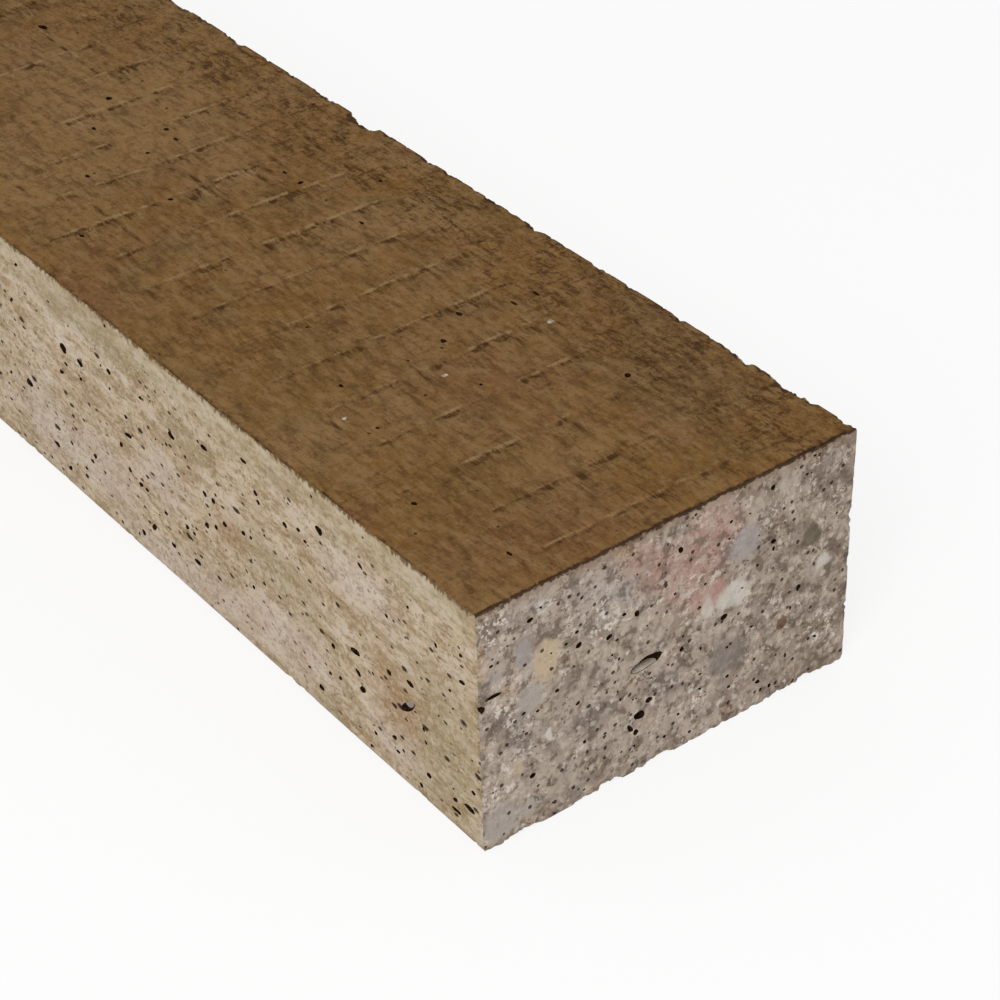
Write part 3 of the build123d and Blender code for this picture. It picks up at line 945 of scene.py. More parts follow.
class LintelColourSettings(bpy.types.PropertyGroup):
    """Colours of the concrete where it was screeded, cast and sawn, and the painted shade of its
    hollows.
    """

    top: colour_setting("Top skin", "Brown skin left by the screed", 124, 90, 48)
    top_light: colour_setting("Top ridges", "Ridges and rubbed places of the top", 140, 109, 70)
    # Dark streaks and grain of the top, and the painted shade laid in its torn grooves
    top_dark_and_groove_shade: colour_setting("Top tears", "Torn grooves of the top", 66, 43, 19)
    top_tan: colour_setting("Top, tan", "Clouds of tan in the top skin", 135, 104, 66)
    top_olive: colour_setting("Top, olive", "Clouds of olive in the top skin", 106, 86, 52)
    top_brown: colour_setting("Top, brown", "Broad dull strokes of the top", 84, 57, 29)
    top_rubbed: colour_setting("Top, rubbed", "Broad rubbed strokes of the top", 142, 113, 77)
    # Painted highlight: the lips and ridges behind the tears take this pale colour
    top_lip_highlight: colour_setting("Top lips", "Lips that stand up behind the tears", 152, 124, 88)
    side: colour_setting("Cast side", "Khaki of the cast sides", 184, 166, 138)
    side_light: colour_setting("Cast side, pale", "Pale grains of the cast sides", 204, 190, 170)
    side_dark: colour_setting("Cast side, dark", "Pitted places of the cast sides", 112, 92, 64)
    side_dull: colour_setting("Cast side, dull", "Broad dull bands of the sides", 144, 121, 90)
    side_chalky: colour_setting("Cast side, chalky", "Broad pale bands", 200, 186, 170)
    # Painted shade: the side's pinholes take this near black in place of the shade inside them
    side_pore_shade: colour_setting("Side pores", "Small open pores of the sides", 40, 27, 14)
    end: colour_setting("Sawn end", "Mortar of the sawn ends", 162, 147, 133)
    end_light: colour_setting("Sawn end, pale", "Pale sand cut through by the saw", 212, 201, 189)
    end_dark: colour_setting("Sawn end, dark", "Dark sand cut through by the saw", 80, 66, 53)
    end_grey: colour_setting("Sawn end, grey", "Clouds of grey mortar", 164, 148, 133)
    end_tan: colour_setting("Sawn end, tan", "Clouds of tan mortar", 162, 136, 116)
    # Laid more strongly towards the far long side, so that the end darkens towards it
    end_khaki: colour_setting("Sawn end, khaki", "Duller mortar far across", 127, 110, 92)
    mottle_light: colour_setting("Mottle, pale", "Small pale mottles", 178, 164, 149)
    mottle_dark: colour_setting("Mottle, dark", "Small dark mottles", 102, 88, 74)
    cloud_light: colour_setting("Cloud, pale", "Larger pale mottles", 172, 157, 143)
    cloud_dark: colour_setting("Cloud, dark", "Larger dark mottles", 120, 106, 94)
    grit_light: colour_setting("Grit, pale", "Pale grit cut by the saw", 196, 183, 169)
    grit_dark: colour_setting("Grit, dark", "Dark grit cut by the saw", 104, 90, 76)
    stone_grey: colour_setting("Grey stones", "Chance stones, grey", 132, 122, 116)
    stone_tan: colour_setting("Tan stones", "Chance stones, tan", 168, 145, 130)
    # Painted shade: the end's pinholes take this near black in place of the shade inside them
    end_pore_shade: colour_setting("End pores", "Small open pores of the ends", 42, 30, 20)
    # Painted shade: the blow holes, the socket and the pinholes of the top and underside take this
    # near black
    hollow_shade: colour_setting("Hollows", "Inside of the blow holes", 30, 20, 11)
    # Painted light: paler grains laid over the holes' painted shade, as light falling on their
    # walls
    hollow_lit_grain: colour_setting("Hollow dust", "Dust inside the blow holes", 66, 50, 34)
    soffit: colour_setting("Soffit", "Underside, left by the bed of the mould", 160, 149, 132)
    pink: colour_setting("Pink stone", "Tint of the pink stones", 168, 133, 121)
    rust: colour_setting("Rust stain", "Tint of the iron stains", 160, 122, 82)
    lilac: colour_setting("Lilac stone", "Tint of the lilac grey stones", 156, 146, 143)
    chalk: colour_setting("Chalk stone", "Tint of the white stones", 198, 191, 180)
    cream: colour_setting("Cream stone", "Tint of the cream stones", 186, 166, 137)
    ash: colour_setting("Ash stone", "Tint of the pale grey stones", 164, 154, 146)
    slate: colour_setting("Slate stone", "Tint of the dark stones", 98, 88, 72)
    umber: colour_setting("Umber stone", "Tint of the brown stones", 92, 60, 38)
    shade: colour_setting("Blue grey patch", "Tint of the dull patches of mortar", 126, 115, 107)
    russet: colour_setting("Russet patch", "Tint of the reddish patches of the top", 120, 84, 53)
    ochre: colour_setting("Ochre patch", "Tint of the yellowish patches of the top", 118, 90, 50)
    loam: colour_setting("Loam patch", "Tint of the dark patches of the top", 94, 68, 40)
    arris: colour_setting("Skin edge", "Dark edge of the brown skin", 44, 28, 14)
    skin_broken: colour_setting("Broken skin", "Where the brown skin broke away", 58, 38, 22)
    skin_drip: colour_setting("Skin drips", "Bristles of skin over the side", 88, 63, 34)
    skin_stain: colour_setting("Skin stain", "Stain of the skin on the end", 128, 101, 76)
    pebble_light: colour_setting("Pebble, pale", "Pale of the end's pebble", 196, 183, 169)
    pebble_shade: colour_setting("Pebble, dull", "Dull clouds on it", 168, 154, 140)
    pebble_grey: colour_setting("Side pebble", "The pebble in the side", 128, 121, 114)
    blush: colour_setting("Blush patch", "Tint of the pale patches of the side", 192, 177, 163)
    moss: colour_setting("Moss patch", "Tint of the greenish patches of the side", 156, 142, 110)
    umber_wash: colour_setting("Umber wash", "Tint of the brown stain of the side", 156, 126, 96)


class LintelStageSettings(bpy.types.PropertyGroup):
    """Floor, lamps and camera."""

    floor: colour_setting("Floor", "Colour of the floor", 250, 250, 250)
    world_level: bpy.props.FloatProperty(
        name="Surround", description="Strength of the even light", default=0.62, min=0.0
    )
    key_power: bpy.props.FloatProperty(
        name="Key lamp", description="Power of the large soft lamp, in watts", default=20.0
    )
    lens: bpy.props.FloatProperty(
        name="Lens", description="Focal length, in millimetres", default=95.66, min=1.0
    )


def spread(index, ratio, low, high):
    """Return an uneven but repeatable place for this copy between two limits."""
    return low + (high - low) * (index * ratio % 1.0)


def smooth_step(value, low, high):
    """Return 0 below low, 1 above high and a smooth rise between."""
    share = np.clip((value - low) / (high - low), 0.0, 1.0)
    return share * share * (3.0 - 2.0 * share)


def chance(cells, seed):
    """Return one repeatable number between -1 and 1 for each whole-numbered cell."""
    mixed = np.full(len(cells), seed * SEED_FACTOR & int(LOW_WORD), dtype=np.uint64)
    for column, prime in zip(cells.T, CELL_PRIMES):
        mixed ^= (column.astype(np.int64) + CELL_SHIFT).astype(np.uint64) * np.uint64(prime)
        mixed = (mixed ^ (mixed >> np.uint64(13))) * MIXING_FACTOR
        mixed &= LOW_WORD
    mixed ^= mixed >> np.uint64(16)
    return (mixed & LOW_BITS) / HALF_RANGE - 1.0


def bumps(points, size, seed):
    """Return smooth noise between -1 and 1 at each point, with bumps of the given size."""
    scaled = points / np.asarray(size, dtype=float)
    cell = np.floor(scaled)
    part = scaled - cell
    part = part * part * (3.0 - 2.0 * part)
    level = np.zeros(len(points))
    for corner in itertools.product((0, 1), repeat=points.shape[1]):
        weight = np.prod(np.where(corner, part, 1.0 - part), axis=1)
        level += weight * chance(cell + corner, seed)
    return level


def stroke_tears(stroke):
    """Return the tears of one stroke: start and stop across the bar, and depth."""
    if stroke < len(NEAR_TEARS):
        return NEAR_TEARS[stroke]
    start = spread(stroke, SECOND_RATIO, *TEAR_STARTS)
    split = spread(stroke, GOLDEN_RATIO, *TEAR_SPLITS)
    stop = spread(stroke + 1, SECOND_RATIO, *TEAR_STOPS)
    shallow = spread(stroke, GOLDEN_RATIO, *SHALLOW_TEARS)
    deep = spread(stroke, SECOND_RATIO, *DEEP_TEARS)
    return ((start, split - TEAR_GAP, shallow), (split + TEAR_GAP, stop, deep))


def all_drags():
    """Return every dragged line: those nearest to the near end, then the others."""
    drags = list(NEAR_DRAGS)
    last_stop = max(drag[2] for drag in NEAR_DRAGS)
    for index in range(int((LENGTH - last_stop) / DRAG_SPACING)):
        start = last_stop + index * DRAG_SPACING
        across = spread(index, GOLDEN_RATIO, *DRAG_BAND)
        drags.append((across, start, start + DRAG_REACH, DRAG_DEPTH))
    return drags


def within(value, start, stop, blur):
    """Return 1 between two limits and 0 outside, with a blurred step at each limit."""
    rise = smooth_step(value, start - blur, start + blur)
    return rise * smooth_step(-value, -stop - blur, blur - stop)


def hump(value, rise, fall):
    """Return a smooth rise from 0 to 1 over two values, times a fall to 0 over two others."""
    return smooth_step(value, *rise) * (1.0 - smooth_step(value, *fall))


def layer(points, height, size, seed):
    """Return one layer of bumps."""
    return height * bumps(points, size, seed)


def uneven(points, mean, swing, size, seed, least, most):
    """Return a level that bumps make uneven, kept between two limits."""
    return np.clip(mean + swing * bumps(points, size, seed), least, most)


def lifted(least, share):
    """Return a share from 0 to 1 that is lifted to run from the least to 1."""
    return least + (1.0 - least) * share


def wear(points, size, seed):
    """Return smooth noise between 0 and 1 at each point."""
    return 0.5 + 0.5 * bumps(points, size, seed)


def tear_depths(stroke, across):
    """Return how deep each place lies in the reach of its own stroke's tears."""
    depth = np.zeros(len(stroke))
    for number in range(int(LENGTH / TEAR_PITCH) + 1):
        here = stroke == number
        for start, stop, deepest in stroke_tears(number):
            reached = within(across[here], start, stop, TEAR_BLUR)
            depth[here] = np.maximum(depth[here], deepest * reached)
    return depth


def line_run(flat, sway, line, start, stop, blur, half_width, gaps):
    """Return how far each place belongs to a lengthwise line with gaps in it."""
    behind, across = flat.T
    profile = np.exp(-(((across - line + sway) / half_width) ** 2))
    return within(behind, start, stop, blur) * profile * uneven(flat, *gaps)


def stroke_marks(stroke, past, across, settings):
    """Return the relief of the strokes, and how torn, ridged and combed they leave the top."""
    depth = tear_depths(stroke, across)

    # Noise that runs straight on within one stroke and starts anew at the next
    teeth = np.stack([across + TEETH_LEAN * past, stroke * STROKE_SHIFT], axis=1)
    broken_up = np.stack([across, stroke * STROKE_SHIFT + PATCH_STRETCH * past], axis=1)
    patchy = uneven(broken_up, *TEAR_PATCHES)
    tooth = layer(teeth, *TEETH)
    reach = settings.comb_reach / MM * uneven(teeth, *COMB_REACHES)
    width = settings.tear_width / MM * uneven(teeth, *TEAR_WIDTHS)

    band = hump(past, TEAR_EDGE, (TEAR_FOOT[0] * width, TEAR_FOOT[1] * width))
    trail = hump(past, COMB_START, (COMB_FADE * reach, reach))
    comb = np.clip(tooth - COMB_GAP, 0.0, 1.0) * trail
    hair = np.clip(-tooth - HAIR_GAP, 0.0, 1.0) * trail
    lip = hump(past, *LIP_SLOPES)
    lip *= uneven(teeth, *LIP_GAPS) * within(across, *LIP_SPAN)
    faint = within(across, *FAINT_SPAN) * uneven(broken_up, *FAINT_TEARS)
    torn = depth * patchy * np.maximum(band, COMB_SHARE * comb)
    torn = np.maximum(torn, FAINT_COMB * comb * patchy * faint)
    torn = np.maximum(torn, FAINT_BAND * band * faint * patchy)
    relief = LIP_HEIGHT * lip * (LIP_LEAST + depth) + HAIR_HEIGHT * hair * depth
    relief = relief - TORN_DEPTH * torn
    # How strongly each lip and ridge takes the painted highlight
    ridged = np.maximum(lip * (RIDGED_LEAST + RIDGED_SHARE * depth), RIDGED_SHARE * hair * depth)
    combed = (COMBED_LEAST + depth) * (1.0 - smooth_step(past, *COMBED_FADE)) * patchy
    combed *= within(across, *COMBED_SPAN)
    return relief, torn / DEEP_TEARS[1], ridged, combed


def add_lines(flat, sway, relief, torn, ridged):
    """Add the lengthwise lines to the relief: those that were dragged and those that stand."""
    for line, start, stop, deepest in all_drags():
        run = line_run(flat, sway, line, start, stop, DRAG_BLUR, DRAG_HALF_WIDTH, DRAG_GAPS)
        relief -= deepest * run
        torn = np.maximum(torn, DRAG_TORN * deepest * run)
    for line, start, stop in PROUD_LINES:
        run = line_run(flat, sway, line, start, stop, PROUD_BLUR, PROUD_HALF_WIDTH, PROUD_GAPS)
        relief += PROUD_HEIGHT * run
        ridged = np.maximum(ridged, PROUD_RIDGED * run)
    return relief, torn, ridged


def add_skin(flat, relief):
    """Add the skin's bumps to the relief: calm by the near long side, rough by the far one."""
    across = flat[:, 1]
    patches = smooth_step(layer(flat, *ROUGH_PATCHES), *ROUGH_PATCH_RISE)
    rough = smooth_step(across, *ROUGH_RISE) + ROUGH_PATCH_SHARE * patches
    calm = lifted(CALM_LEAST, smooth_step(across, *CALM_RISE))
    ripples, ribs, grains = (
        layer(flat, height * calm, size, seed) for height, size, seed in SKIN_BUMPS
    )
    relief += layer(flat, *SKIN_SWELL) + ripples
    relief += ribs + grains
    relief += rough * (layer(flat, *ROUGH_LUMPS) + layer(flat, *ROUGH_GRAINS) - ROUGH_SINK)
    return relief


def screed_marks(points, settings):
    """Return the relief of the top at each point, and how torn, ridged and combed it is there."""
    behind = END_X - points[:, 0]
    across = points[:, 1] + SIDE_Y
    flat = np.stack([behind, across], axis=1)
    wave = layer(flat, *STROKE_WAVE) + layer(flat, *STROKE_WOBBLE)
    place = (behind - FIRST_TEAR + wave) / TEAR_PITCH
    stroke = np.ceil(place - settings.lip_width / MM / TEAR_PITCH)
    past = (stroke - place) * TEAR_PITCH
    relief, torn, ridged, combed = stroke_marks(stroke, past, across, settings)
    relief, torn, ridged = add_lines(flat, LINE_SWAY * wave, relief, torn, ridged)
    return add_skin(flat, relief), *(np.clip(share, 0, 1) for share in (torn, ridged, combed))


def break_points(span, breaks):
    """Return the places along an edge and how far each break bites in there."""
    spacing, least, most = breaks
    count = max(2, round(span / spacing))
    places = [-BREAK_CLEARANCE]
    bites = [least]
    for index in range(count):
        places.append((index + spread(index, SECOND_RATIO, *BREAK_PLACES)) * span / count)
        bites.append(spread(index + 1, GOLDEN_RATIO, least, most))
    return places + [span + BREAK_CLEARANCE], bites + [least]


def ragged_edges():
    """Return each broken edge: its start, direction, outward diagonal, and its breaks."""
    edges = []
    for end in (1, -1):
        for side in (1, -1):
            foot = (end * END_X, side * SIDE_Y, 0)
            edges.append((foot, (0, 0, 1), (end, side, 0), HEIGHT, SAWN_SIDE_BREAKS))
        for level, breaks in ((0, SAWN_BOTTOM_BREAKS), (HEIGHT, SAWN_TOP_BREAKS)):
            corner = (end * END_X, -end * SIDE_Y, level)
            outward = (end, 0, 1 if level else -1)
            edges.append((corner, (0, end, 0), outward, WIDTH, breaks))
    for side in (1, -1):
        foot = (END_X, side * SIDE_Y, 0)
        edges.append((foot, (-1, 0, 0), (0, side, -1), LENGTH, MOULD_EDGE_BREAKS))
    head = (END_X, SIDE_Y, HEIGHT)
    edges.append((head, (-1, 0, 0), (0, 1, 1), LENGTH, RAGGED_TOP_BREAKS))
    return edges


def bite_depth(points, edge):
    """Return how far each point lies inside an edge, and how far the edge is broken there."""
    start, along, outward, span, breaks = edge
    offset = points - np.array(start)
    inside = -(offset @ np.array(outward)) / math.sqrt(2)
    run = offset @ np.array(along, dtype=float)
    bite = np.full(len(points), -BREAK_CLEARANCE)
    near = inside < breaks[2] + BREAK_REACH
    places, bites = break_points(span, breaks)
    broken = np.interp(run[near], places, bites)
    if breaks is RAGGED_TOP_BREAKS:
        for distance, half, deepest in RAGGED_EDGE_BITES:
            stops = (distance - half, distance - half / 2, distance + half / 3, distance + half)
            levels = (NOTCH_RIM, deepest, NOTCH_SHELF * deepest, NOTCH_RIM)
            notch = np.interp(run[near], stops, levels)
            broken = np.maximum(broken, notch)
    close = points[near]
    share, size, seed = BREAK_WOBBLE
    broken += layer(close, share * (breaks[2] - breaks[1]), size, seed)
    broken += layer(close, *BREAK_LUMPS) + layer(close, *BREAK_CRUMBS)
    bite[near] = broken
    return inside, bite


def break_edges(points):
    """Move the points that lie in the broken edges down onto the broken surface."""
    for edge in ragged_edges():
        inside, bite = bite_depth(points, edge)
        lost = np.maximum(bite - inside, 0.0)
        points = points - np.outer(lost, np.array(edge[2]) / math.sqrt(2))
    return points


def broken_share(points):
    """Return how far each point belongs to a broken edge, from 0 to 1."""
    share = np.zeros(len(points))
    for edge in ragged_edges():
        inside, bite = bite_depth(points, edge)
        lost = smooth_step(bite - inside, -BROKEN_BLUR, 0.0)
        share = np.maximum(share, lost * (inside > BROKEN_INSET))
    return share


def round_long_edges(points, mould_radius, trowel_radius):
    """Round the four long edges: below by the mould, above by the trowel."""
    for upper, radius in ((False, mould_radius), (True, trowel_radius)):
        up = (points[:, 2] - HEIGHT + radius) if upper else (radius - points[:, 2])
        out = np.abs(points[:, 1]) - SIDE_Y + radius
        corner = (up > 0) & (out > 0)
        reach = np.hypot(up[corner], out[corner])
        pull = np.maximum(up[corner], out[corner]) / reach
        out_new, up_new = out[corner] * pull, up[corner] * pull
        points[corner, 1] = np.sign(points[corner, 1]) * (SIDE_Y - radius + out_new)
        points[corner, 2] = (HEIGHT - radius + up_new) if upper else (radius - up_new)
    return points


def shape_faces(points, settings):
    """Give each face its own relief, fading out where it meets the next face."""
    moved = points.copy()
    top = HEIGHT - points[:, 2] < ON_FACE
    inner_y = smooth_step(SIDE_Y - np.abs(points[top, 1]), *FADE_BY_SIDE)
    inner_x = smooth_step(END_X - np.abs(points[top, 0]), *FADE_BY_END)
    fade = FADE_LEAST + (1.0 - FADE_LEAST) * inner_y * inner_x
    moved[top, 2] += screed_marks(points[top], settings)[0] * fade

    under = points[:, 2] < ON_FACE
    moved[under, 2] += SOFFIT_WEAR[0] + layer(points[under, :2], *SOFFIT_WEAR)

    side = SIDE_Y - np.abs(points[:, 1]) < ON_FACE
    facing = np.sign(points[side, 1])
    flank = points[side][:, (0, 2)] + FACE_SHIFT * facing[:, None]
    calm = smooth_step(HEIGHT - points[side, 2], *TROWELLED_BAND)
    wide, middling, fine = (wear(flank, *marks) for marks in SIDE_WEAR)
    worn = wide + lifted(BAND_MIDDLING, calm) * middling
    worn += lifted(BAND_FINE, calm) * SIDE_FINE * fine
    moved[side, 1] -= facing * worn * settings.side_relief / MM

    end = END_X - np.abs(points[:, 0]) < ON_FACE
    facing = np.sign(points[end, 0])
    cut = points[end][:, (1, 2)] + FACE_SHIFT * facing[:, None]
    wide, middling, fine = (wear(cut, *marks) for marks in END_WEAR)
    worn = wide + (END_MIDDLING * middling + END_FINE * fine)
    moved[end, 0] -= facing * worn * settings.end_relief / MM
    return moved


def graded(span, step, fine, margin):
    """Return places from 0 to span that lie closer together near both ends."""
    edge = np.arange(0.0, margin, fine)
    middle = np.linspace(margin, span - margin, max(2, round((span - 2 * margin) / step)))
    return np.concatenate([edge, middle, span - edge[::-1]])


def bar_rows(settings):
    """Return how far behind the near end each row of points lies."""
    near = graded(2 * settings.fine_reach / MM, settings.fine_step / MM, EDGE_STEP, END_MARGIN)
    near = near[near < settings.fine_reach / MM]
    far = graded(LENGTH, settings.coarse_step / MM, EDGE_STEP, END_MARGIN)
    return np.concatenate([near, far[far > near[-1] + ROW_GAP]])


def cap_corners(first, count, wide, tall, around):
    """Return the numbers of one end's points as a grid: its rim, then the points inside."""
    index = np.empty((wide + 1, tall + 1), dtype=np.int64)
    index[1:-1, 1:-1] = count + np.arange((wide - 1) * (tall - 1)).reshape(wide - 1, -1)
    index[:, 0] = first + np.arange(wide + 1)
    index[-1, :] = first + wide + np.arange(tall + 1)
    index[:, -1] = first + wide + tall + np.arange(wide, -1, -1)
    index[0, :] = first + (2 * wide + tall + np.arange(tall, -1, -1)) % around
    return index


def bar_grid(settings):
    """Return the points and faces of a closed box with a fine grid on every face."""
    ys = graded(WIDTH, settings.fine_step / MM, EDGE_STEP, SIDE_MARGIN) - SIDE_Y
    zs = graded(HEIGHT, settings.fine_step / MM, EDGE_STEP, SIDE_MARGIN)
    wide, tall = len(ys) - 1, len(zs) - 1
    loop_y = np.concatenate([ys[:-1], np.full(tall, ys[-1]), ys[:0:-1], np.full(tall, ys[0])])
    loop_z = np.concatenate([np.zeros(wide), zs[:-1], np.full(wide, HEIGHT), zs[:0:-1]])
    around = len(loop_y)
    xs = END_X - bar_rows(settings)
    points = [
        np.stack(
            [np.repeat(xs, around), np.tile(loop_y, len(xs)), np.tile(loop_z, len(xs))], axis=1
        )
    ]
    row, column = np.meshgrid(np.arange(len(xs) - 1), np.arange(around), indexing="ij")
    here = row * around + column
    beside = row * around + (column + 1) % around
    faces = [np.stack([here, here + around, beside + around, beside], axis=-1).reshape(-1, 4)]
    inner_y, inner_z = np.meshgrid(ys[1:-1], zs[1:-1], indexing="ij")
    count = len(points[0])
    for cap, first in ((1, 0), (-1, (len(xs) - 1) * around)):
        index = cap_corners(first, count, wide, tall, around)
        inner_x = np.full(inner_y.size, cap * END_X)
        points.append(np.stack([inner_x, inner_y.ravel(), inner_z.ravel()], axis=1))
        count += inner_y.size
        corners = [index[:-1, :-1], index[1:, :-1], index[1:, 1:], index[:-1, 1:]]
        faces.append(np.stack(corners[::cap], axis=-1).reshape(-1, 4))
    return np.concatenate(points), np.concatenate(faces)


def mesh_object(name, points, faces, finishes=(), slots=0):
    """Return a new object with these points, in millimetres, its faces and their finishes."""
    mesh = bpy.data.meshes.new(name)
    mesh.from_pydata((points * MM).tolist(), [], faces.tolist())
    mesh.validate()
    dress(mesh, finishes, slots)
    piece = bpy.data.objects.new(name, mesh)
    bpy.context.scene.collection.objects.link(piece)
    return piece


def dress(mesh, finishes, slots):
    """Give a mesh its finishes, and each face the slot of one of them."""
    mesh.materials.clear()
    for finish in finishes:
        mesh.materials.append(finish)
    indexes = np.broadcast_to(np.asarray(slots, dtype=np.int32), len(mesh.polygons))
    mesh.polygons.foreach_set("material_index", np.ascontiguousarray(indexes))


def bake_modifiers(piece):
    """Put the result of a piece's modifiers into its mesh and take them off."""
    graph = bpy.context.evaluated_depsgraph_get()
    result = bpy.data.meshes.new_from_object(piece.evaluated_get(graph))
    piece.modifiers.clear()
    old = piece.data
    piece.data = result
    bpy.data.meshes.remove(old)


def face_axes(face):
    """Return a face's two directions, its inward normal, and the place of its first corner."""
    return {
        "near_side": ((-1, 0, 0), (0, 0, -1), (0, 1, 0), (END_X, -SIDE_Y, HEIGHT)),
        "far_side": ((-1, 0, 0), (0, 0, -1), (0, -1, 0), (END_X, SIDE_Y, HEIGHT)),
        "near_end": ((0, 1, 0), (0, 0, -1), (-1, 0, 0), (END_X, -SIDE_Y, HEIGHT)),
        "far_end": ((0, 1, 0), (0, 0, -1), (1, 0, 0), (-END_X, -SIDE_Y, HEIGHT)),
        "soffit": ((-1, 0, 0), (0, 1, 0), (0, 0, 1), (END_X, -SIDE_Y, 0)),
        "top": ((-1, 0, 0), (0, 1, 0), (0, 0, -1), (END_X, -SIDE_Y, HEIGHT)),
    }[face]


def void_at(face, first, second, half_first, half_second, tilt, depth):
    """Return one void: its centre, its three half sizes and its axes as rows."""
    along, down, inward, corner = (np.array(part, dtype=float) for part in face_axes(face))
    turn = math.radians(tilt)
    long_axis = math.cos(turn) * along - math.sin(turn) * down
    short_axis = math.sin(turn) * along + math.cos(turn) * down
    centre = corner + first * along + second * down
    sizes = np.array([half_first, half_second, depth])
    return centre, sizes, np.stack([long_axis, short_axis, inward])


def measured_voids():
    """Return the blow holes and the socket that were measured in the photograph."""
    voids = []
    for face, table, turn in (("near_side", SIDE_VOIDS, -1), ("near_end", END_VOIDS, 1)):
        for first, second, half_first, half_second, tilt in table:
            halves = (MOUTH_SHARE * half_first, MOUTH_SHARE * half_second)
            depth = CAST_VOID_DEPTH * min(halves)
            voids.append(void_at(face, first, second, *halves, turn * tilt, depth))
    for first, second, half_first, half_second in TOP_VOIDS:
        halves = (MOUTH_SHARE * half_first, MOUTH_SHARE * half_second)
        voids.append(void_at("top", first, second, *halves, 0, TOP_VOID_DEPTH * half_second))
    across, below, long, wide = SOCKET
    voids.append(void_at("near_end", across, below, long / 2, wide / 2, 0, SOCKET_DEPTH * wide))
    return voids


def all_voids():
    """Return every blow hole: the measured ones first, then the chance ones between them."""
    voids = measured_voids()
    centres = [void[0] for void in voids]
    reaches = [void[1].max() for void in voids]
    draw = np.random.default_rng(CHANCE_SEED)
    for face, count, least, most, (start, finish) in CHANCE_VOIDS:
        across = WIDTH if face in ("top", "soffit") else HEIGHT
        left = count
        while left:
            half = least + (most - least) * draw.random() ** SMALL_BIAS
            stretch, tilt = draw.uniform(*CHANCE_STRETCH), draw.uniform(*CHANCE_TILT)
            first = draw.uniform(start, finish)
            second = draw.uniform(VOID_MARGIN, across - VOID_MARGIN)
            depth = CHANCE_VOID_DEPTH * half
            void = void_at(face, first, second, stretch * half, half, tilt, depth)
            gaps = np.linalg.norm(np.array(centres) - void[0], axis=1) - reaches
            if gaps.min() > stretch * half + VOID_CLEARANCE:
                voids.append(void)
                centres.append(void[0])
                reaches.append(void[1].max())
                left -= 1
    return voids


def ball(level):
    """Return the points and faces of a round ball."""
    shape = bmesh.new()
    bmesh.ops.create_icosphere(shape, subdivisions=level, radius=1.0)
    corners = np.array([vertex.co[:] for vertex in shape.verts])
    triangles = np.array([[vertex.index for vertex in face.verts] for face in shape.faces])
    shape.free()
    return corners, triangles


def uneven_balls(places, unevenness, levels):
    """Return the points and faces of uneven closed balls, the larger the finer."""
    shapes = [ball(level) for level in levels]
    points, faces, count = [], [], 0
    for number, (centre, sizes, axes) in enumerate(places):
        reach = sizes[:2].max()
        corners, triangles = shapes[sum(reach > limit for limit in LARGER_BALLS)]
        lumps = bumps(corners * BALL_LUMPS + BALL_SHIFT * number, 1.0, BALL_SEED)
        swell = 1.0 + unevenness * lumps
        points.append(centre + (corners * swell[:, None] * sizes) @ axes)
        faces.append((triangles if np.linalg.det(axes) > 0 else triangles[:, ::-1]) + count)
        count += len(corners)
    return np.concatenate(points), np.concatenate(faces)


def pebble_places():
    """Return the centre, the half sizes and the axes of each pebble."""
    places = []
    for face, first, second, long_half, wide_half, deep_half, tilt, sunk in PEBBLES:
        centre, sizes, axes = void_at(face, first, second, long_half, wide_half, tilt, deep_half)
        places.append((centre + (sunk + deep_half) * axes[2], sizes, axes))
    return places


def combine(body, tool, operation):
    """Join another closed mesh to the body or cut it out of it, and take that mesh away."""
    step = body.modifiers.new(operation, "BOOLEAN")
    step.operation = operation
    step.solver = "MANIFOLD"
    step.object = tool
    bake_modifiers(body)
    bpy.data.objects.remove(tool)


def add_share(mesh, name, values):
    """Store one number between 0 and 1 for each point of a mesh."""
    layer = mesh.attributes.new(name=name, type="FLOAT", domain="POINT")
    layer.data.foreach_set("value", np.ascontiguousarray(values, dtype=np.float32))


def places_of(items, name):
    """Return the places of a mesh's points, or of its faces, in millimetres."""
    flat = np.empty(3 * len(items), dtype=np.float32)
    items.foreach_get(name, flat)
    return flat.reshape(-1, 3).astype(float) / MM


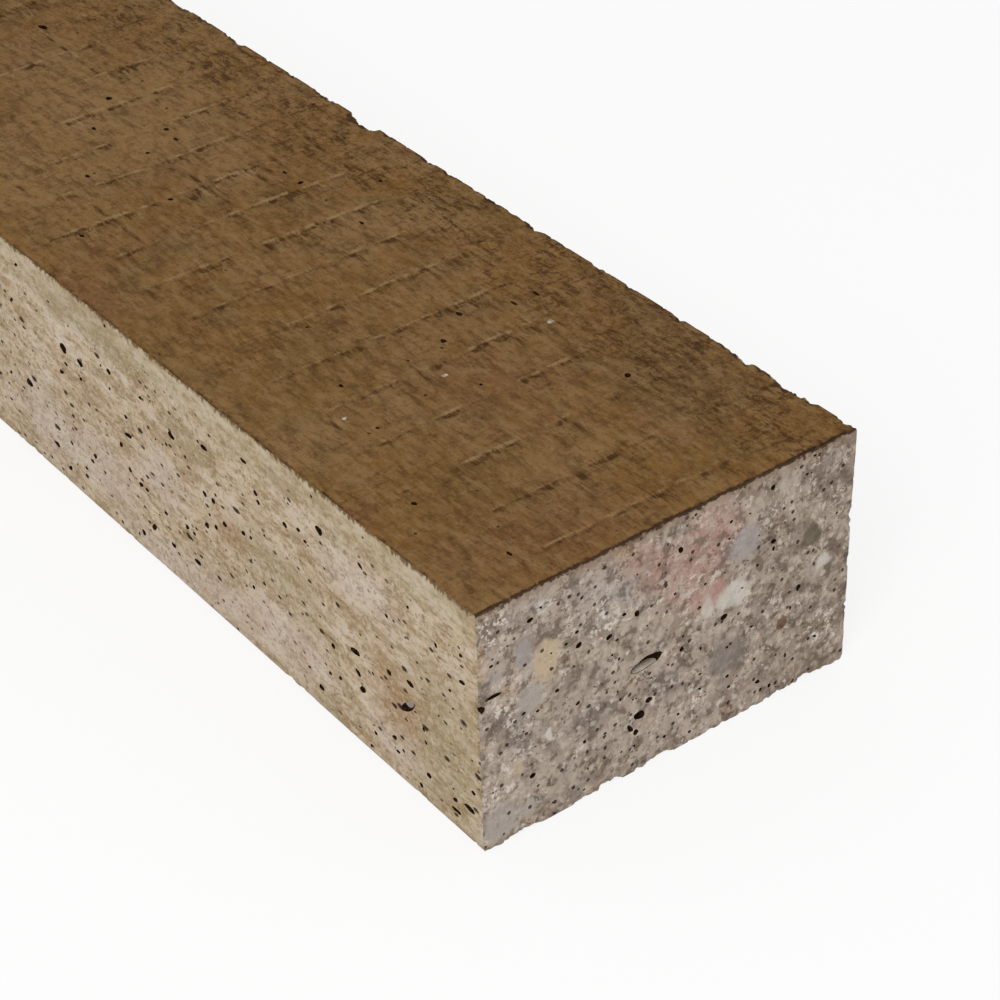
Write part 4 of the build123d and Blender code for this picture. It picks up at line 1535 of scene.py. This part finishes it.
class Board:
    """Lays out the nodes of one material or node group and joins them up."""

    def __init__(self, tree):
        """Start on an empty node tree."""
        self.tree = tree
        tree.nodes.clear()

    def add(self, kind, **settings):
        """Add one node with its settings."""
        node = self.tree.nodes.new(kind)
        for name, value in settings.items():
            setattr(node, name, value)
        return node

    def feed(self, socket, value):
        """Give a socket a link or a fixed value."""
        if isinstance(value, bpy.types.NodeSocket):
            self.tree.links.new(value, socket)
        elif hasattr(socket.default_value, "__len__") and len(socket.default_value) == 4:
            socket.default_value = (*value[:3], 1.0)
        else:
            socket.default_value = value

    def math(self, operation, *values):
        """Add a math node and return its result."""
        node = self.add("ShaderNodeMath", operation=operation)
        for socket, value in zip(node.inputs, values):
            self.feed(socket, value)
        return node.outputs[0]

    def vector(self, operation, *values, result="Vector"):
        """Add a vector math node and return its result."""
        node = self.add("ShaderNodeVectorMath", operation=operation)
        for socket, value in zip(node.inputs, values):
            self.feed(socket, value)
        return node.outputs[result]

    def mix(self, share, first, second):
        """Mix two colours by a share."""
        node = self.add("ShaderNodeMix", data_type="RGBA")
        self.feed(node.inputs[MIX_SHARE], share)
        self.feed(node.inputs[MIX_FIRST], first)
        self.feed(node.inputs[MIX_SECOND], second)
        return node.outputs[MIXED]

    def step(self, value, low, high, start=0.0, finish=1.0):
        """Rise smoothly from start to finish while the value goes from low to high."""
        node = self.add("ShaderNodeMapRange", interpolation_type="SMOOTHSTEP")
        for socket, number in zip(node.inputs, (value, low, high, start, finish)):
            self.feed(socket, number)
        return node.outputs[0]

    def noise(self, vector, size, detail=2.0, roughness=0.5, colour=False):
        """Add cloudy noise with lumps of the given size in millimetres."""
        node = self.add("ShaderNodeTexNoise")
        self.feed(node.inputs["Vector"], vector)
        self.feed(node.inputs["Scale"], self.inverse(size))
        self.feed(node.inputs["Detail"], detail)
        self.feed(node.inputs["Roughness"], roughness)
        return node.outputs["Color" if colour else "Fac"]

    def cells(self, vector, size):
        """Add a pattern of cells of the given size in millimetres and return its node."""
        node = self.add("ShaderNodeTexVoronoi")
        self.feed(node.inputs["Vector"], vector)
        self.feed(node.inputs["Scale"], self.inverse(size))
        return node

    def product(self, *values):
        """Multiply several values."""
        return functools.reduce(lambda first, second: self.math("MULTIPLY", first, second), values)

    def total(self, *products):
        """Add up several products."""
        terms = [self.product(*values) for values in products]
        return functools.reduce(lambda first, second: self.math("ADD", first, second), terms)

    def scaled(self, value, factor, offset):
        """Return a value times a factor plus an offset."""
        return self.math("MULTIPLY_ADD", value, factor, offset)

    def inverse(self, size):
        """Return one over a size that is a number or a socket."""
        if isinstance(size, bpy.types.NodeSocket):
            return self.math("DIVIDE", 1.0, size)
        return 1.0 / size

    def parts(self, colour):
        """Return the three channels of a colour or a vector."""
        node = self.add("ShaderNodeSeparateXYZ")
        self.feed(node.inputs[0], colour)
        return node.outputs

    def place(self, group, **inputs):
        """Place a node group with its inputs and return its outputs."""
        node = self.add("ShaderNodeGroup", node_tree=group)
        for name, value in inputs.items():
            self.feed(node.inputs[name.capitalize()], value)
        return node.outputs


def new_group(name, places, numbers, outputs):
    """Return a new node group's board, with its inputs, places first, and its outputs."""
    tree = bpy.data.node_groups.new(name, "ShaderNodeTree")
    for label in places:
        tree.interface.new_socket(label, in_out="INPUT", socket_type="NodeSocketVector")
    for label, default in numbers.items():
        socket = tree.interface.new_socket(label, in_out="INPUT", socket_type="NodeSocketFloat")
        socket.default_value = default
    for label in outputs:
        tree.interface.new_socket(label, in_out="OUTPUT", socket_type="NodeSocketFloat")
    board = Board(tree)
    given = board.add("NodeGroupInput").outputs
    result = board.add("NodeGroupOutput").inputs
    return board, given, result


def sand_grain_group():
    """Build the grains of sand: a tone for each grain and the relief between grains."""
    board, given, result = new_group(
        "Sand grain", ("Vector",), {"Size": 1.0}, ("Tone", "Height")
    )
    place, size = given["Vector"], given["Size"]
    coarse = board.cells(place, size)
    fine = board.cells(place, board.math("MULTIPLY", size, FINE_GRAIN))
    cloud = board.noise(place, board.math("MULTIPLY", size, GRAIN_CLOUD), **GRAIN_CLOUD_NOISE)
    tones = (
        board.parts(coarse.outputs["Color"])[0],
        board.parts(fine.outputs["Color"])[1],
        cloud,
    )
    rounds = [board.step(cell.outputs["Distance"], *GRAIN_RIM) for cell in (coarse, fine)]
    height = board.total(*zip(rounds, GRAIN_HEIGHTS))
    height = board.math("MULTIPLY", height, board.math("MULTIPLY", size, GRAIN_RELIEF))
    board.feed(result["Tone"], board.total(*zip(tones, GRAIN_TONES)))
    board.feed(result["Height"], height)
    return board.tree


def pinhole_group():
    """Build small open pores that are sparse and differ in size."""
    numbers = {"Spacing": 4.0, "Radius": 0.4, "Share": 0.5}
    board, given, result = new_group("Pinholes", ("Vector",), numbers, ("Mask", "Height"))
    cell = board.cells(given["Vector"], given["Spacing"])
    chance_size, chance_there, _ = board.parts(cell.outputs["Color"])
    scale = board.math("ADD", chance_size, PINHOLE_LEAST)
    radius = board.math("MULTIPLY", given["Radius"], scale)
    away = board.math("MULTIPLY", cell.outputs["Distance"], given["Spacing"])
    lumps = board.math("MULTIPLY", given["Radius"], PINHOLE_LUMPS)
    wobble = board.noise(given["Vector"], lumps, **PINHOLE_NOISE)
    wobble = board.math("SUBTRACT", wobble, NOISE_MEAN)
    away = board.math("ADD", away, board.math("MULTIPLY", wobble, given["Radius"]))
    inside = board.step(board.math("DIVIDE", away, radius), *PINHOLE_RIM)
    there = board.math("LESS_THAN", chance_there, given["Share"])
    mask = board.math("MULTIPLY", inside, there)
    board.feed(result["Mask"], mask)
    board.feed(result["Height"], board.product(mask, radius, PINHOLE_DEPTH))
    return board.tree


def cut_stone_group():
    """Build stones cut flush by a saw: where they are, how each is tinted, and their rims."""
    board, given, result = new_group(
        "Cut stones", ("Vector",), {"Size": 8.0, "Share": 0.4}, ("Mask", "Tone", "Hue")
    )
    lumps = board.math("MULTIPLY", given["Size"], STONE_LUMPS)
    warp = board.noise(given["Vector"], lumps, **STONE_LUMP_NOISE, colour=True)
    warp = board.vector("SUBTRACT", warp, (NOISE_MEAN,) * 3)
    shift = board.add("ShaderNodeVectorMath", operation="SCALE")
    board.feed(shift.inputs[0], warp)
    board.feed(shift.inputs["Scale"], board.math("MULTIPLY", given["Size"], STONE_PUSH))
    place = board.vector("ADD", given["Vector"], shift.outputs[0])
    cell = board.cells(place, given["Size"])
    tone, there, hue = board.parts(cell.outputs["Color"])
    edge = board.step(cell.outputs["Distance"], *STONE_RIM)
    mask = board.math("MULTIPLY", edge, board.math("LESS_THAN", there, given["Share"]))
    board.feed(result["Mask"], mask)
    board.feed(result["Tone"], tone)
    board.feed(result["Hue"], hue)
    return board.tree


def patch_group():
    """Build one oval patch at a chosen place."""
    places = ("Vector", "Centre", "Radius")
    board, given, result = new_group("Patch", places, {"Softness": 0.3}, ("Mask",))
    offset = board.vector("SUBTRACT", given["Vector"], given["Centre"])
    scaled = board.vector("DIVIDE", offset, given["Radius"])
    away = board.vector("LENGTH", scaled, result="Value")
    low = board.math("SUBTRACT", 1.0, given["Softness"])
    high = board.math("ADD", 1.0, given["Softness"])
    board.feed(result["Mask"], board.step(away, low, high, 1.0, 0.0))
    return board.tree


def blotch_group():
    """Build cloudy blotches between two levels of a noise."""
    numbers = {"Size": 20.0, "Low": 0.45, "High": 0.65}
    board, given, result = new_group("Blotches", ("Vector",), numbers, ("Mask",))
    cloud = board.noise(given["Vector"], given["Size"], **BLOTCH_NOISE)
    board.feed(result["Mask"], board.step(cloud, given["Low"], given["High"]))
    return board.tree


def streak_group(name, axis):
    """Build fine streaks drawn out along one axis."""
    numbers = {"Width": 0.8, "Stretch": 14.0}
    board, given, result = new_group(name, ("Vector",), numbers, ("Tone", "Height"))
    squeeze = board.add("ShaderNodeCombineXYZ")
    for number, socket in enumerate(squeeze.inputs):
        board.feed(socket, board.math("DIVIDE", 1.0, given["Stretch"]) if number == axis else 1.0)
    place = board.vector("MULTIPLY", given["Vector"], squeeze.outputs[0])
    tone = board.noise(place, given["Width"], **STREAK_NOISE)
    level = board.math("SUBTRACT", tone, NOISE_MEAN)
    board.feed(result["Tone"], tone)
    board.feed(result["Height"], board.math("MULTIPLY", level, STREAK_RELIEF))
    return board.tree


def build_groups():
    """Build every shared effect once and return them by name."""
    return {
        "grain": sand_grain_group(),
        "pinholes": pinhole_group(),
        "stones": cut_stone_group(),
        "patch": patch_group(),
        "blotches": blotch_group(),
        "streaks": streak_group("Streaks along", 0),
        "crosswise": streak_group("Streaks across", 1),
    }


def floor_material(settings):
    """Pale floor that shows near white to the camera and keeps the shadow."""
    material = bpy.data.materials.new("studio_floor")
    material.use_nodes = True
    board = Board(material.node_tree)
    matt = board.add("ShaderNodeBsdfDiffuse")
    board.feed(matt.inputs["Color"], tuple(settings.floor))
    glow = board.add("ShaderNodeEmission")
    board.feed(glow.inputs["Strength"], 1.0)
    seen = board.add("ShaderNodeLightPath").outputs["Is Camera Ray"]
    mix = board.add("ShaderNodeMixShader")
    board.feed(mix.inputs[0], board.math("MULTIPLY", seen, FLOOR_WHITENESS))
    board.feed(mix.inputs[1], matt.outputs[0])
    board.feed(mix.inputs[2], glow.outputs[0])
    output = board.add("ShaderNodeOutputMaterial")
    board.feed(output.inputs["Surface"], mix.outputs[0])
    return material


class Finish(Board):
    """One finish of the concrete: its patterns, its heights and the colour laid so far."""

    def __init__(self, name, groups, tints, base):
        """Start on a new material in its base colour, with places in millimetres."""
        self.material = bpy.data.materials.new(name)
        self.material.use_nodes = True
        super().__init__(self.material.node_tree)
        place = self.add("ShaderNodeTexCoord").outputs["Object"]
        self.spot = self.vector("MULTIPLY", place, (1 / MM,) * 3)
        self.groups = groups
        self.tints = tints
        self.colour = getattr(tints, base)
        self.patterns = {}
        self.heights = {}

    def share(self, name):
        """Return a number stored on the mesh's points."""
        return self.add("ShaderNodeAttribute", attribute_name=name).outputs["Fac"]

    def draw(self, table, spot=None):
        """Draw the effects of a table and keep their tones or masks, and their heights."""
        for name, group, move, values in table:
            moved = self.vector("ADD", spot or self.spot, move)
            if group == "noise":
                self.patterns[name] = self.heights[name] = self.noise(moved, **values)
                continue
            outputs = self.place(self.groups[group], vector=moved, **values)
            self.patterns[name] = outputs[0]
            if "Height" in outputs:
                self.heights[name] = outputs["Height"]

    def hang(self, level, table):
        """Turn patterns into a level that is ragged by the amounts of a table."""
        for name, amount in table:
            self.patterns[name] = self.total((level,), (self.patterns[name], amount))

    def warped(self, size, amount):
        """Return places that are pushed about by noise, so that outlines turn ragged."""
        push = self.noise(self.spot, size, **WARP_NOISE, colour=True)
        push = self.vector("SUBTRACT", push, (NOISE_MEAN,) * 3)
        push = self.vector("MULTIPLY", push, (2 * amount,) * 3)
        return self.vector("ADD", self.spot, push)

    def lay(self, *layers):
        """Lay tints over the colour, one after the other.

        Each layer holds the pattern's name, the values between which the tint rises, or None
        to take the pattern as it is, the tint's strength and name, and the masks it keeps to.
        """
        for name, limits, strength, tint, *masks in layers:
            if limits:
                share = self.step(self.patterns[name], *limits, 0.0, strength)
            else:
                share = self.math("MULTIPLY", self.patterns[name], strength)
            share = self.product(share, *(self.patterns[mask] for mask in masks))
            self.colour = self.mix(share, self.colour, getattr(self.tints, tint))

    def patch(self, spot, face, oval, softness):
        """Place an oval patch on a face and return its mask."""
        first, second, half_first, half_second = oval
        along, down, inward, corner = (np.array(part, dtype=float) for part in face_axes(face))
        centre = corner + first * along + second * down
        radius = half_first * abs(along) + half_second * abs(down)
        radius += PATCH_DEPTHS[face] * abs(inward)
        values = dict(centre=centre.tolist(), radius=radius.tolist(), softness=softness)
        return self.place(self.groups["patch"], vector=spot, **values)[0]

    def lay_patches(self, spot, face, patches, strength):
        """Lay the measured patches of one face over the colour."""
        for *oval, tint, softness in patches:
            self.patterns["patch"] = self.patch(spot, face, oval, softness)
            self.lay(("patch", None, strength, tint))

    def finished(self, table, roughness, specular):
        """Join the colour, the roughness and a table's heights to the shader.

        Each row of the table holds a height's name, its share and the masks it keeps to.
        """
        heights = [
            (self.heights[name], *(self.patterns[mask] for mask in masks), share)
            for name, share, *masks in table
        ]
        bump = self.add("ShaderNodeBump")
        bump.inputs["Strength"].default_value = 1.0
        bump.inputs["Distance"].default_value = MM
        self.feed(bump.inputs["Height"], self.total(*heights))
        shader = self.add("ShaderNodeBsdfPrincipled")
        shader.inputs["Specular IOR Level"].default_value = specular
        self.feed(shader.inputs["Base Color"], self.colour)
        self.feed(shader.inputs["Roughness"], roughness)
        self.feed(shader.inputs["Normal"], bump.outputs[0])
        output = self.add("ShaderNodeOutputMaterial")
        self.feed(output.inputs["Surface"], shader.outputs[0])
        return self.material


def screeded_top_material(groups, tints):
    """Brown screed skin with torn grooves in painted shade, ridges in painted highlight and fine
    streaks along the bar.
    """
    top = Finish("screeded_top", groups, tints, "top")
    top.draw(TOP_EFFECTS)
    patterns = top.patterns
    along, across, _ = top.parts(top.spot)
    combed, torn = top.share("combed"), top.share("torn")
    strip = top.step(across, *CALM_STRIP)
    lively = top.math("MULTIPLY", strip, LIVELY_STRIP)
    scored = top.math("MAXIMUM", patterns["scored"], combed)
    teeth = top.step(patterns["scores"], *TORN_TEETH)
    lip_highlight_gaps = top.step(patterns["fine"], *LIP_HIGHLIGHT_GAPS)
    ragged = top.math("MULTIPLY", patterns["ragged"], RAGGED_DEPTH)
    for name, half, side in (("from_end", END_X, along), ("from_side", SIDE_Y, across)):
        inside = top.math("SUBTRACT", half, top.math("ABSOLUTE", side))
        patterns[name] = top.math("ADD", inside, ragged)
    patterns.update(
        lively=top.math("ADD", top.scaled(combed, *LIVELY_COMBED), lively),
        scored=top.math("MULTIPLY", scored, top.scaled(strip, *SCORED_STRIP)),
        rough=top.scaled(strip, *ROUGH_STRIP),
        # The torn share, broken up by the teeth, lays painted shade in the grooves
        torn=top.math("MULTIPLY", top.step(torn, *TORN_RISE), teeth),
        # The ridged share, broken up by gaps, lays a painted highlight on the lips
        ridged=top.math("MULTIPLY", top.share("ridged"), lip_highlight_gaps),
        broken=top.share("broken"),
    )
    top.heights["torn"] = torn
    top.lay(*TOP_CLOUDS)
    top.lay_patches(top.warped(*TOP_WARP), "top", TOP_PATCHES, TOP_TINT)
    top.lay(*TOP_MARKS)
    top.lay_patches(top.spot, "top", TOP_SPECKS, SPECK_TINT)
    top.lay(*TOP_EDGES)
    roughness = top.step(patterns["torn"], *TORN_ROUGHNESS)
    return top.finished(TOP_RELIEF, roughness, TOP_SHINE)


def cast_side_material(groups, tints):
    """Khaki cast face with pale grains, open pores painted dark as their shade, pale patches and a
    smoother upper band.
    """
    side = Finish("cast_side", groups, tints, "side")
    side.draw(SIDE_EFFECTS)
    leant = side.add("ShaderNodeMapping")
    leant.inputs["Rotation"].default_value = (0.0, PORE_LEAN, 0.0)
    leant.inputs["Scale"].default_value = PORE_STRETCH
    side.feed(leant.inputs["Vector"], side.spot)
    side.draw(LEANING_PORES, leant.outputs[0])
    side.draw(BRISTLES, side.vector("MULTIPLY", side.spot, BRISTLE_STRETCH))
    patterns = side.patterns
    level = side.parts(side.spot)[2]
    side.hang(level, SIDE_HANGING)
    upper = side.step(level, *PORES_THIN_OUT)
    crowd = side.math("MULTIPLY", upper, patterns["pitted"])
    small = side.math("MULTIPLY", patterns["small"], crowd)
    large = side.math("MULTIPLY", patterns["large"], upper)
    pale = side.scaled(patterns["pale"], *PALE_CALM)
    patterns.update(
        level=level,
        calm=side.math("MULTIPLY", side.step(level, *SIDE_CALM), pale),
        upper=upper,
        crowd=crowd,
        pores=side.math("MAXIMUM", small, large),
        broken=side.share("broken"),
    )
    soft = side.warped(*SIDE_WARP)
    side.lay_patches(soft, "near_side", SIDE_PATCHES, SIDE_TINT)
    side.lay(*SIDE_CLOUDS)
    side.lay_patches(soft, "near_side", SIDE_PATCHES, SIDE_TINT_AGAIN)
    side.lay(*SIDE_MARKS)
    return side.finished(SIDE_RELIEF, *SIDE_GLOSS)


def chance_stones(end, along):
    """Lay stones of several tints over the sawn end, fewer where the measured ones lie."""
    stones = end.place(end.groups["stones"], vector=end.spot, **STONE_SIZES)
    hue = end.step(stones["Hue"], *STONE_HUES)
    tint = end.mix(hue, end.tints.stone_grey, end.tints.stone_tan)
    tint = end.mix(end.step(stones["Tone"], *CREAM_STONES), tint, end.tints.cream)
    tint = end.mix(end.step(stones["Tone"], *SLATE_STONES), tint, end.tints.slate)
    share = end.math("MULTIPLY", stones["Mask"], end.step(along, *CHANCE_STONES))
    end.colour = end.mix(share, end.colour, tint)


def cut_grit(end):
    """Lay dark and pale grit over the sawn end."""
    grit = end.place(end.groups["stones"], vector=end.spot, **GRIT_SIZES)
    tone = end.step(grit["Tone"], *GRIT_TONES)
    tint = end.mix(tone, end.tints.grit_dark, end.tints.grit_light)
    busy = end.scaled(end.patterns["busy"], *GRIT_SHARE)
    end.colour = end.mix(end.math("MULTIPLY", grit["Mask"], busy), end.colour, tint)
    end.heights["grit"] = grit["Mask"]


def sawn_end_material(groups, tints):
    """Mortar with cut sand, stones of several colours and the edge of the brown skin."""
    end = Finish("sawn_end", groups, tints, "end")
    end.draw(END_EFFECTS)
    patterns = end.patterns
    along, across, level = end.parts(end.spot)
    end.hang(level, END_HANGING)
    ragged = end.warped(*END_WARP)
    bright = patterns["bright"]
    for oval in CRUMB_PATCHES:
        crumbs = end.patch(ragged, "near_end", oval, CRUMB_SOFTNESS)
        bright = end.math("MAXIMUM", bright, end.math("MULTIPLY", crumbs, CRUMB_STRENGTH))
    patterns.update(
        across=across,
        dark_share=end.scaled(patterns["busy"], *DARK_SAND),
        light_share=end.scaled(bright, *PALE_SAND),
        broken=end.share("broken"),
    )
    end.lay(*END_CLOUDS)
    chance_stones(end, along)
    end.lay_patches(ragged, "near_end", END_PATCHES, END_TINT)
    end.lay(*END_MOTTLES)
    cut_grit(end)
    end.lay(*END_SAND)
    end.lay_patches(ragged, "near_end", SHARP_STONES, SHARP_TINT)
    end.lay_patches(ragged, "near_end", PINK_STONES, PINK_TINT)
    end.lay(*END_EDGES)
    return end.finished(END_RELIEF, *END_GLOSS)


def soffit_material(groups, tints):
    """Underside left smooth and slightly stained by the bed of the mould."""
    soffit = Finish("mould_soffit", groups, tints, "soffit")
    soffit.draw(SOFFIT_EFFECTS)
    soffit.lay(*SOFFIT_MARKS)
    return soffit.finished(SOFFIT_RELIEF, *SOFFIT_GLOSS)


def blow_hole_material(groups, tints):
    """Rough walls of the blow holes, painted near black as their shade, with paler grains as
    painted light.
    """
    hole = Finish("blow_hole_painted_shade", groups, tints, "hollow_shade")
    hole.draw(HOLE_EFFECTS)
    hole.lay(*HOLE_MARKS)
    return hole.finished(HOLE_RELIEF, *HOLE_GLOSS)


def pebble_material(groups, tints):
    """Smooth pebble with faint speckles, pale in the end and grey in the side."""
    pebble = Finish("bare_pebble", groups, tints, "pebble_shade")
    pebble.draw(PEBBLE_EFFECTS)
    pebble.patterns["in_side"] = pebble.step(pebble.parts(pebble.spot)[0], *PEBBLE_IN_SIDE)
    pebble.lay(*PEBBLE_MARKS)
    return pebble.finished(PEBBLE_RELIEF, *PEBBLE_GLOSS)


def face_slots(points):
    """Return which of the first four finishes a place takes: that of the nearest face."""
    away = np.stack(
        [
            HEIGHT - points[:, 2],
            SIDE_Y - np.abs(points[:, 1]),
            END_X - np.abs(points[:, 0]),
            points[:, 2],
        ]
    )
    return np.argmin(away, axis=0)


FINISHES = (
    screeded_top_material,
    cast_side_material,
    sawn_end_material,
    soffit_material,
    blow_hole_material,
    pebble_material,
)
HOLE = FINISHES.index(blow_hole_material)
PEBBLE = FINISHES.index(pebble_material)


def cast_bar(settings, finishes):
    """Cast the bar with its relief and its broken edges."""
    points, faces = bar_grid(settings)
    points = shape_faces(points, settings)
    points = round_long_edges(points, settings.mould_radius / MM, settings.trowel_radius / MM)
    body = mesh_object("concrete_body", break_edges(points), faces)
    thin = body.modifiers.new("thin", "DECIMATE")
    thin.ratio = min(1.0, settings.face_budget / (2 * len(faces)))
    bake_modifiers(body)
    dress(body.data, finishes, face_slots(places_of(body.data.polygons, "center")))
    return body


def sink_voids(body, finishes):
    """Sink the blow holes and the pebble's socket into the body, walled in the holes' painted
    shade.
    """
    voids = uneven_balls(all_voids(), VOID_UNEVENNESS, VOID_LEVELS)
    combine(body, mesh_object("voids", *voids, finishes, HOLE), "DIFFERENCE")


def set_pebbles(body, finishes):
    """Set the pebbles in their hollows, cut off a little below the faces."""
    points, faces = uneven_balls(pebble_places(), PEBBLE_UNEVENNESS, PEBBLE_LEVELS)
    points = np.clip(points, LOW + PEBBLE_SUNK, HIGH - PEBBLE_SUNK)
    combine(body, mesh_object("pebbles", points, faces, finishes, PEBBLE), "UNION")


def store_marks(mesh, settings):
    """Store on each point how torn, ridged, combed and broken the concrete is there."""
    places = places_of(mesh.vertices, "co")
    marks = screed_marks(places, settings)
    # The torn and ridged shares lay painted shade in the grooves and a painted highlight on the
    # lips
    for name, share in zip(("torn", "ridged", "combed"), marks[1:]):
        add_share(mesh, name, share)
    add_share(mesh, "broken", broken_share(places))


class LINTEL_OT_cast_body(bpy.types.Operator):
    """Cast the lintel's body with its relief, broken edges and blow holes"""

    bl_idname = "lintel.cast_body"
    bl_label = "Cast body"

    def execute(self, context):
        """Build the body and stand it in for the frame's plain bar."""
        settings = context.scene.lintel_form
        groups = build_groups()
        finishes = [build(groups, context.scene.lintel_colours) for build in FINISHES]
        body = cast_bar(settings, finishes)
        sink_voids(body, finishes)
        set_pebbles(body, finishes)
        mesh = body.data
        if len(mesh.polygons) < settings.face_budget // 2:
            raise RuntimeError("the body lost its faces when its voids were sunk")
        store_marks(mesh, settings)
        mesh.shade_smooth()
        mesh.set_sharp_from_angle(angle=settings.sharp_angle)
        mesh.update()
        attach(body, "root")
        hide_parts("lintel_body")
        return {"FINISHED"}


class LINTEL_OT_set_stage(bpy.types.Operator):
    """Set the floor, the soft lamps and the camera"""

    bl_idname = "lintel.set_stage"
    bl_label = "Set stage"

    def execute(self, context):
        """Build the floor, the light and the camera."""
        scene = context.scene
        settings = scene.lintel_stage
        corners = np.array([(-1, -1, 0), (1, -1, 0), (1, 1, 0), (-1, 1, 0)]) * FLOOR_REACH / MM
        floor = mesh_object("studio_floor", corners, np.array([[0, 1, 2, 3]]))
        floor.data.materials.append(floor_material(settings))
        self.light_room(scene, settings)
        self.add_camera(scene, settings)
        return {"FINISHED"}

    def light_room(self, scene, settings):
        """Light the object evenly, with one large soft lamp from the near long side."""
        world = bpy.data.worlds.new("studio")
        world.use_nodes = True
        board = Board(world.node_tree)
        path = board.add("ShaderNodeLightPath").outputs
        seen = board.math("MAXIMUM", path["Is Camera Ray"], path["Is Transmission Ray"])
        strength = board.step(seen, 0.0, 1.0, settings.world_level, 1.0)
        background = board.add("ShaderNodeBackground")
        board.feed(background.inputs["Color"], (1.0, 1.0, 1.0))
        board.feed(background.inputs["Strength"], strength)
        output = board.add("ShaderNodeOutputWorld")
        board.feed(output.inputs["Surface"], background.outputs[0])
        scene.world = world
        lamp = bpy.data.lights.new("key_lamp", "AREA")
        lamp.shape = "DISK"
        lamp.size = LAMP_WIDTH
        lamp.energy = settings.key_power
        key = bpy.data.objects.new("key_lamp", lamp)
        key.location = LAMP_PLACE
        aim = Vector(LAMP_AIM) - key.location
        key.rotation_euler = aim.to_track_quat("-Z", "Y").to_euler()
        scene.collection.objects.link(key)

    def add_camera(self, scene, settings):
        """Stand the camera where the photograph was taken from."""
        eye = Vector(CAMERA_PLACE) * MM
        ahead, right = Vector(CAMERA_AHEAD), Vector(CAMERA_RIGHT)
        up = right.cross(ahead)
        data = bpy.data.cameras.new("camera")
        data.lens = settings.lens
        data.sensor_width = SENSOR_WIDTH
        data.clip_start = NEAREST_SEEN
        camera = bpy.data.objects.new("camera", data)
        turn = Matrix((right, up, -ahead)).transposed().to_4x4()
        camera.matrix_world = Matrix.Translation(eye) @ turn
        scene.collection.objects.link(camera)
        scene.camera = camera
        scene.view_settings.view_transform = "Standard"


class LINTEL_PT_panel(bpy.types.Panel):
    """Lists the lintel's steps and settings"""

    bl_label = "Concrete lintel"
    bl_idname = "LINTEL_PT_panel"
    bl_space_type = "VIEW_3D"
    bl_region_type = "UI"
    bl_category = "Lintel"

    def draw(self, context):
        """Show a button for each step and its settings."""
        for operator in STEPS:
            self.layout.operator(operator.bl_idname)
        for holder in SETTINGS:
            group = getattr(context.scene, holder)
            box = self.layout.box()
            for name in group.bl_rna.properties.keys():
                if name not in ("rna_type", "name"):
                    box.prop(group, name)


SETTINGS = {
    "lintel_form": LintelFormSettings,
    "lintel_colours": LintelColourSettings,
    "lintel_stage": LintelStageSettings,
}
STEPS = (LINTEL_OT_cast_body, LINTEL_OT_set_stage)


def register():
    """Register the settings, the steps and the panel."""
    for name, group in SETTINGS.items():
        bpy.utils.register_class(group)
        setattr(bpy.types.Scene, name, bpy.props.PointerProperty(type=group))
    for step in STEPS:
        bpy.utils.register_class(step)
    bpy.utils.register_class(LINTEL_PT_panel)


def unregister():
    """Take the panel, the steps and the settings away."""
    bpy.utils.unregister_class(LINTEL_PT_panel)
    for step in reversed(STEPS):
        bpy.utils.unregister_class(step)
    for name, group in reversed(list(SETTINGS.items())):
        delattr(bpy.types.Scene, name)
        bpy.utils.unregister_class(group)


def main():
    """Register the steps, then build the lintel and its stage."""
    register()
    bpy.ops.lintel.cast_body()
    bpy.ops.lintel.set_stage()


if __name__ == "__main__":
    main()
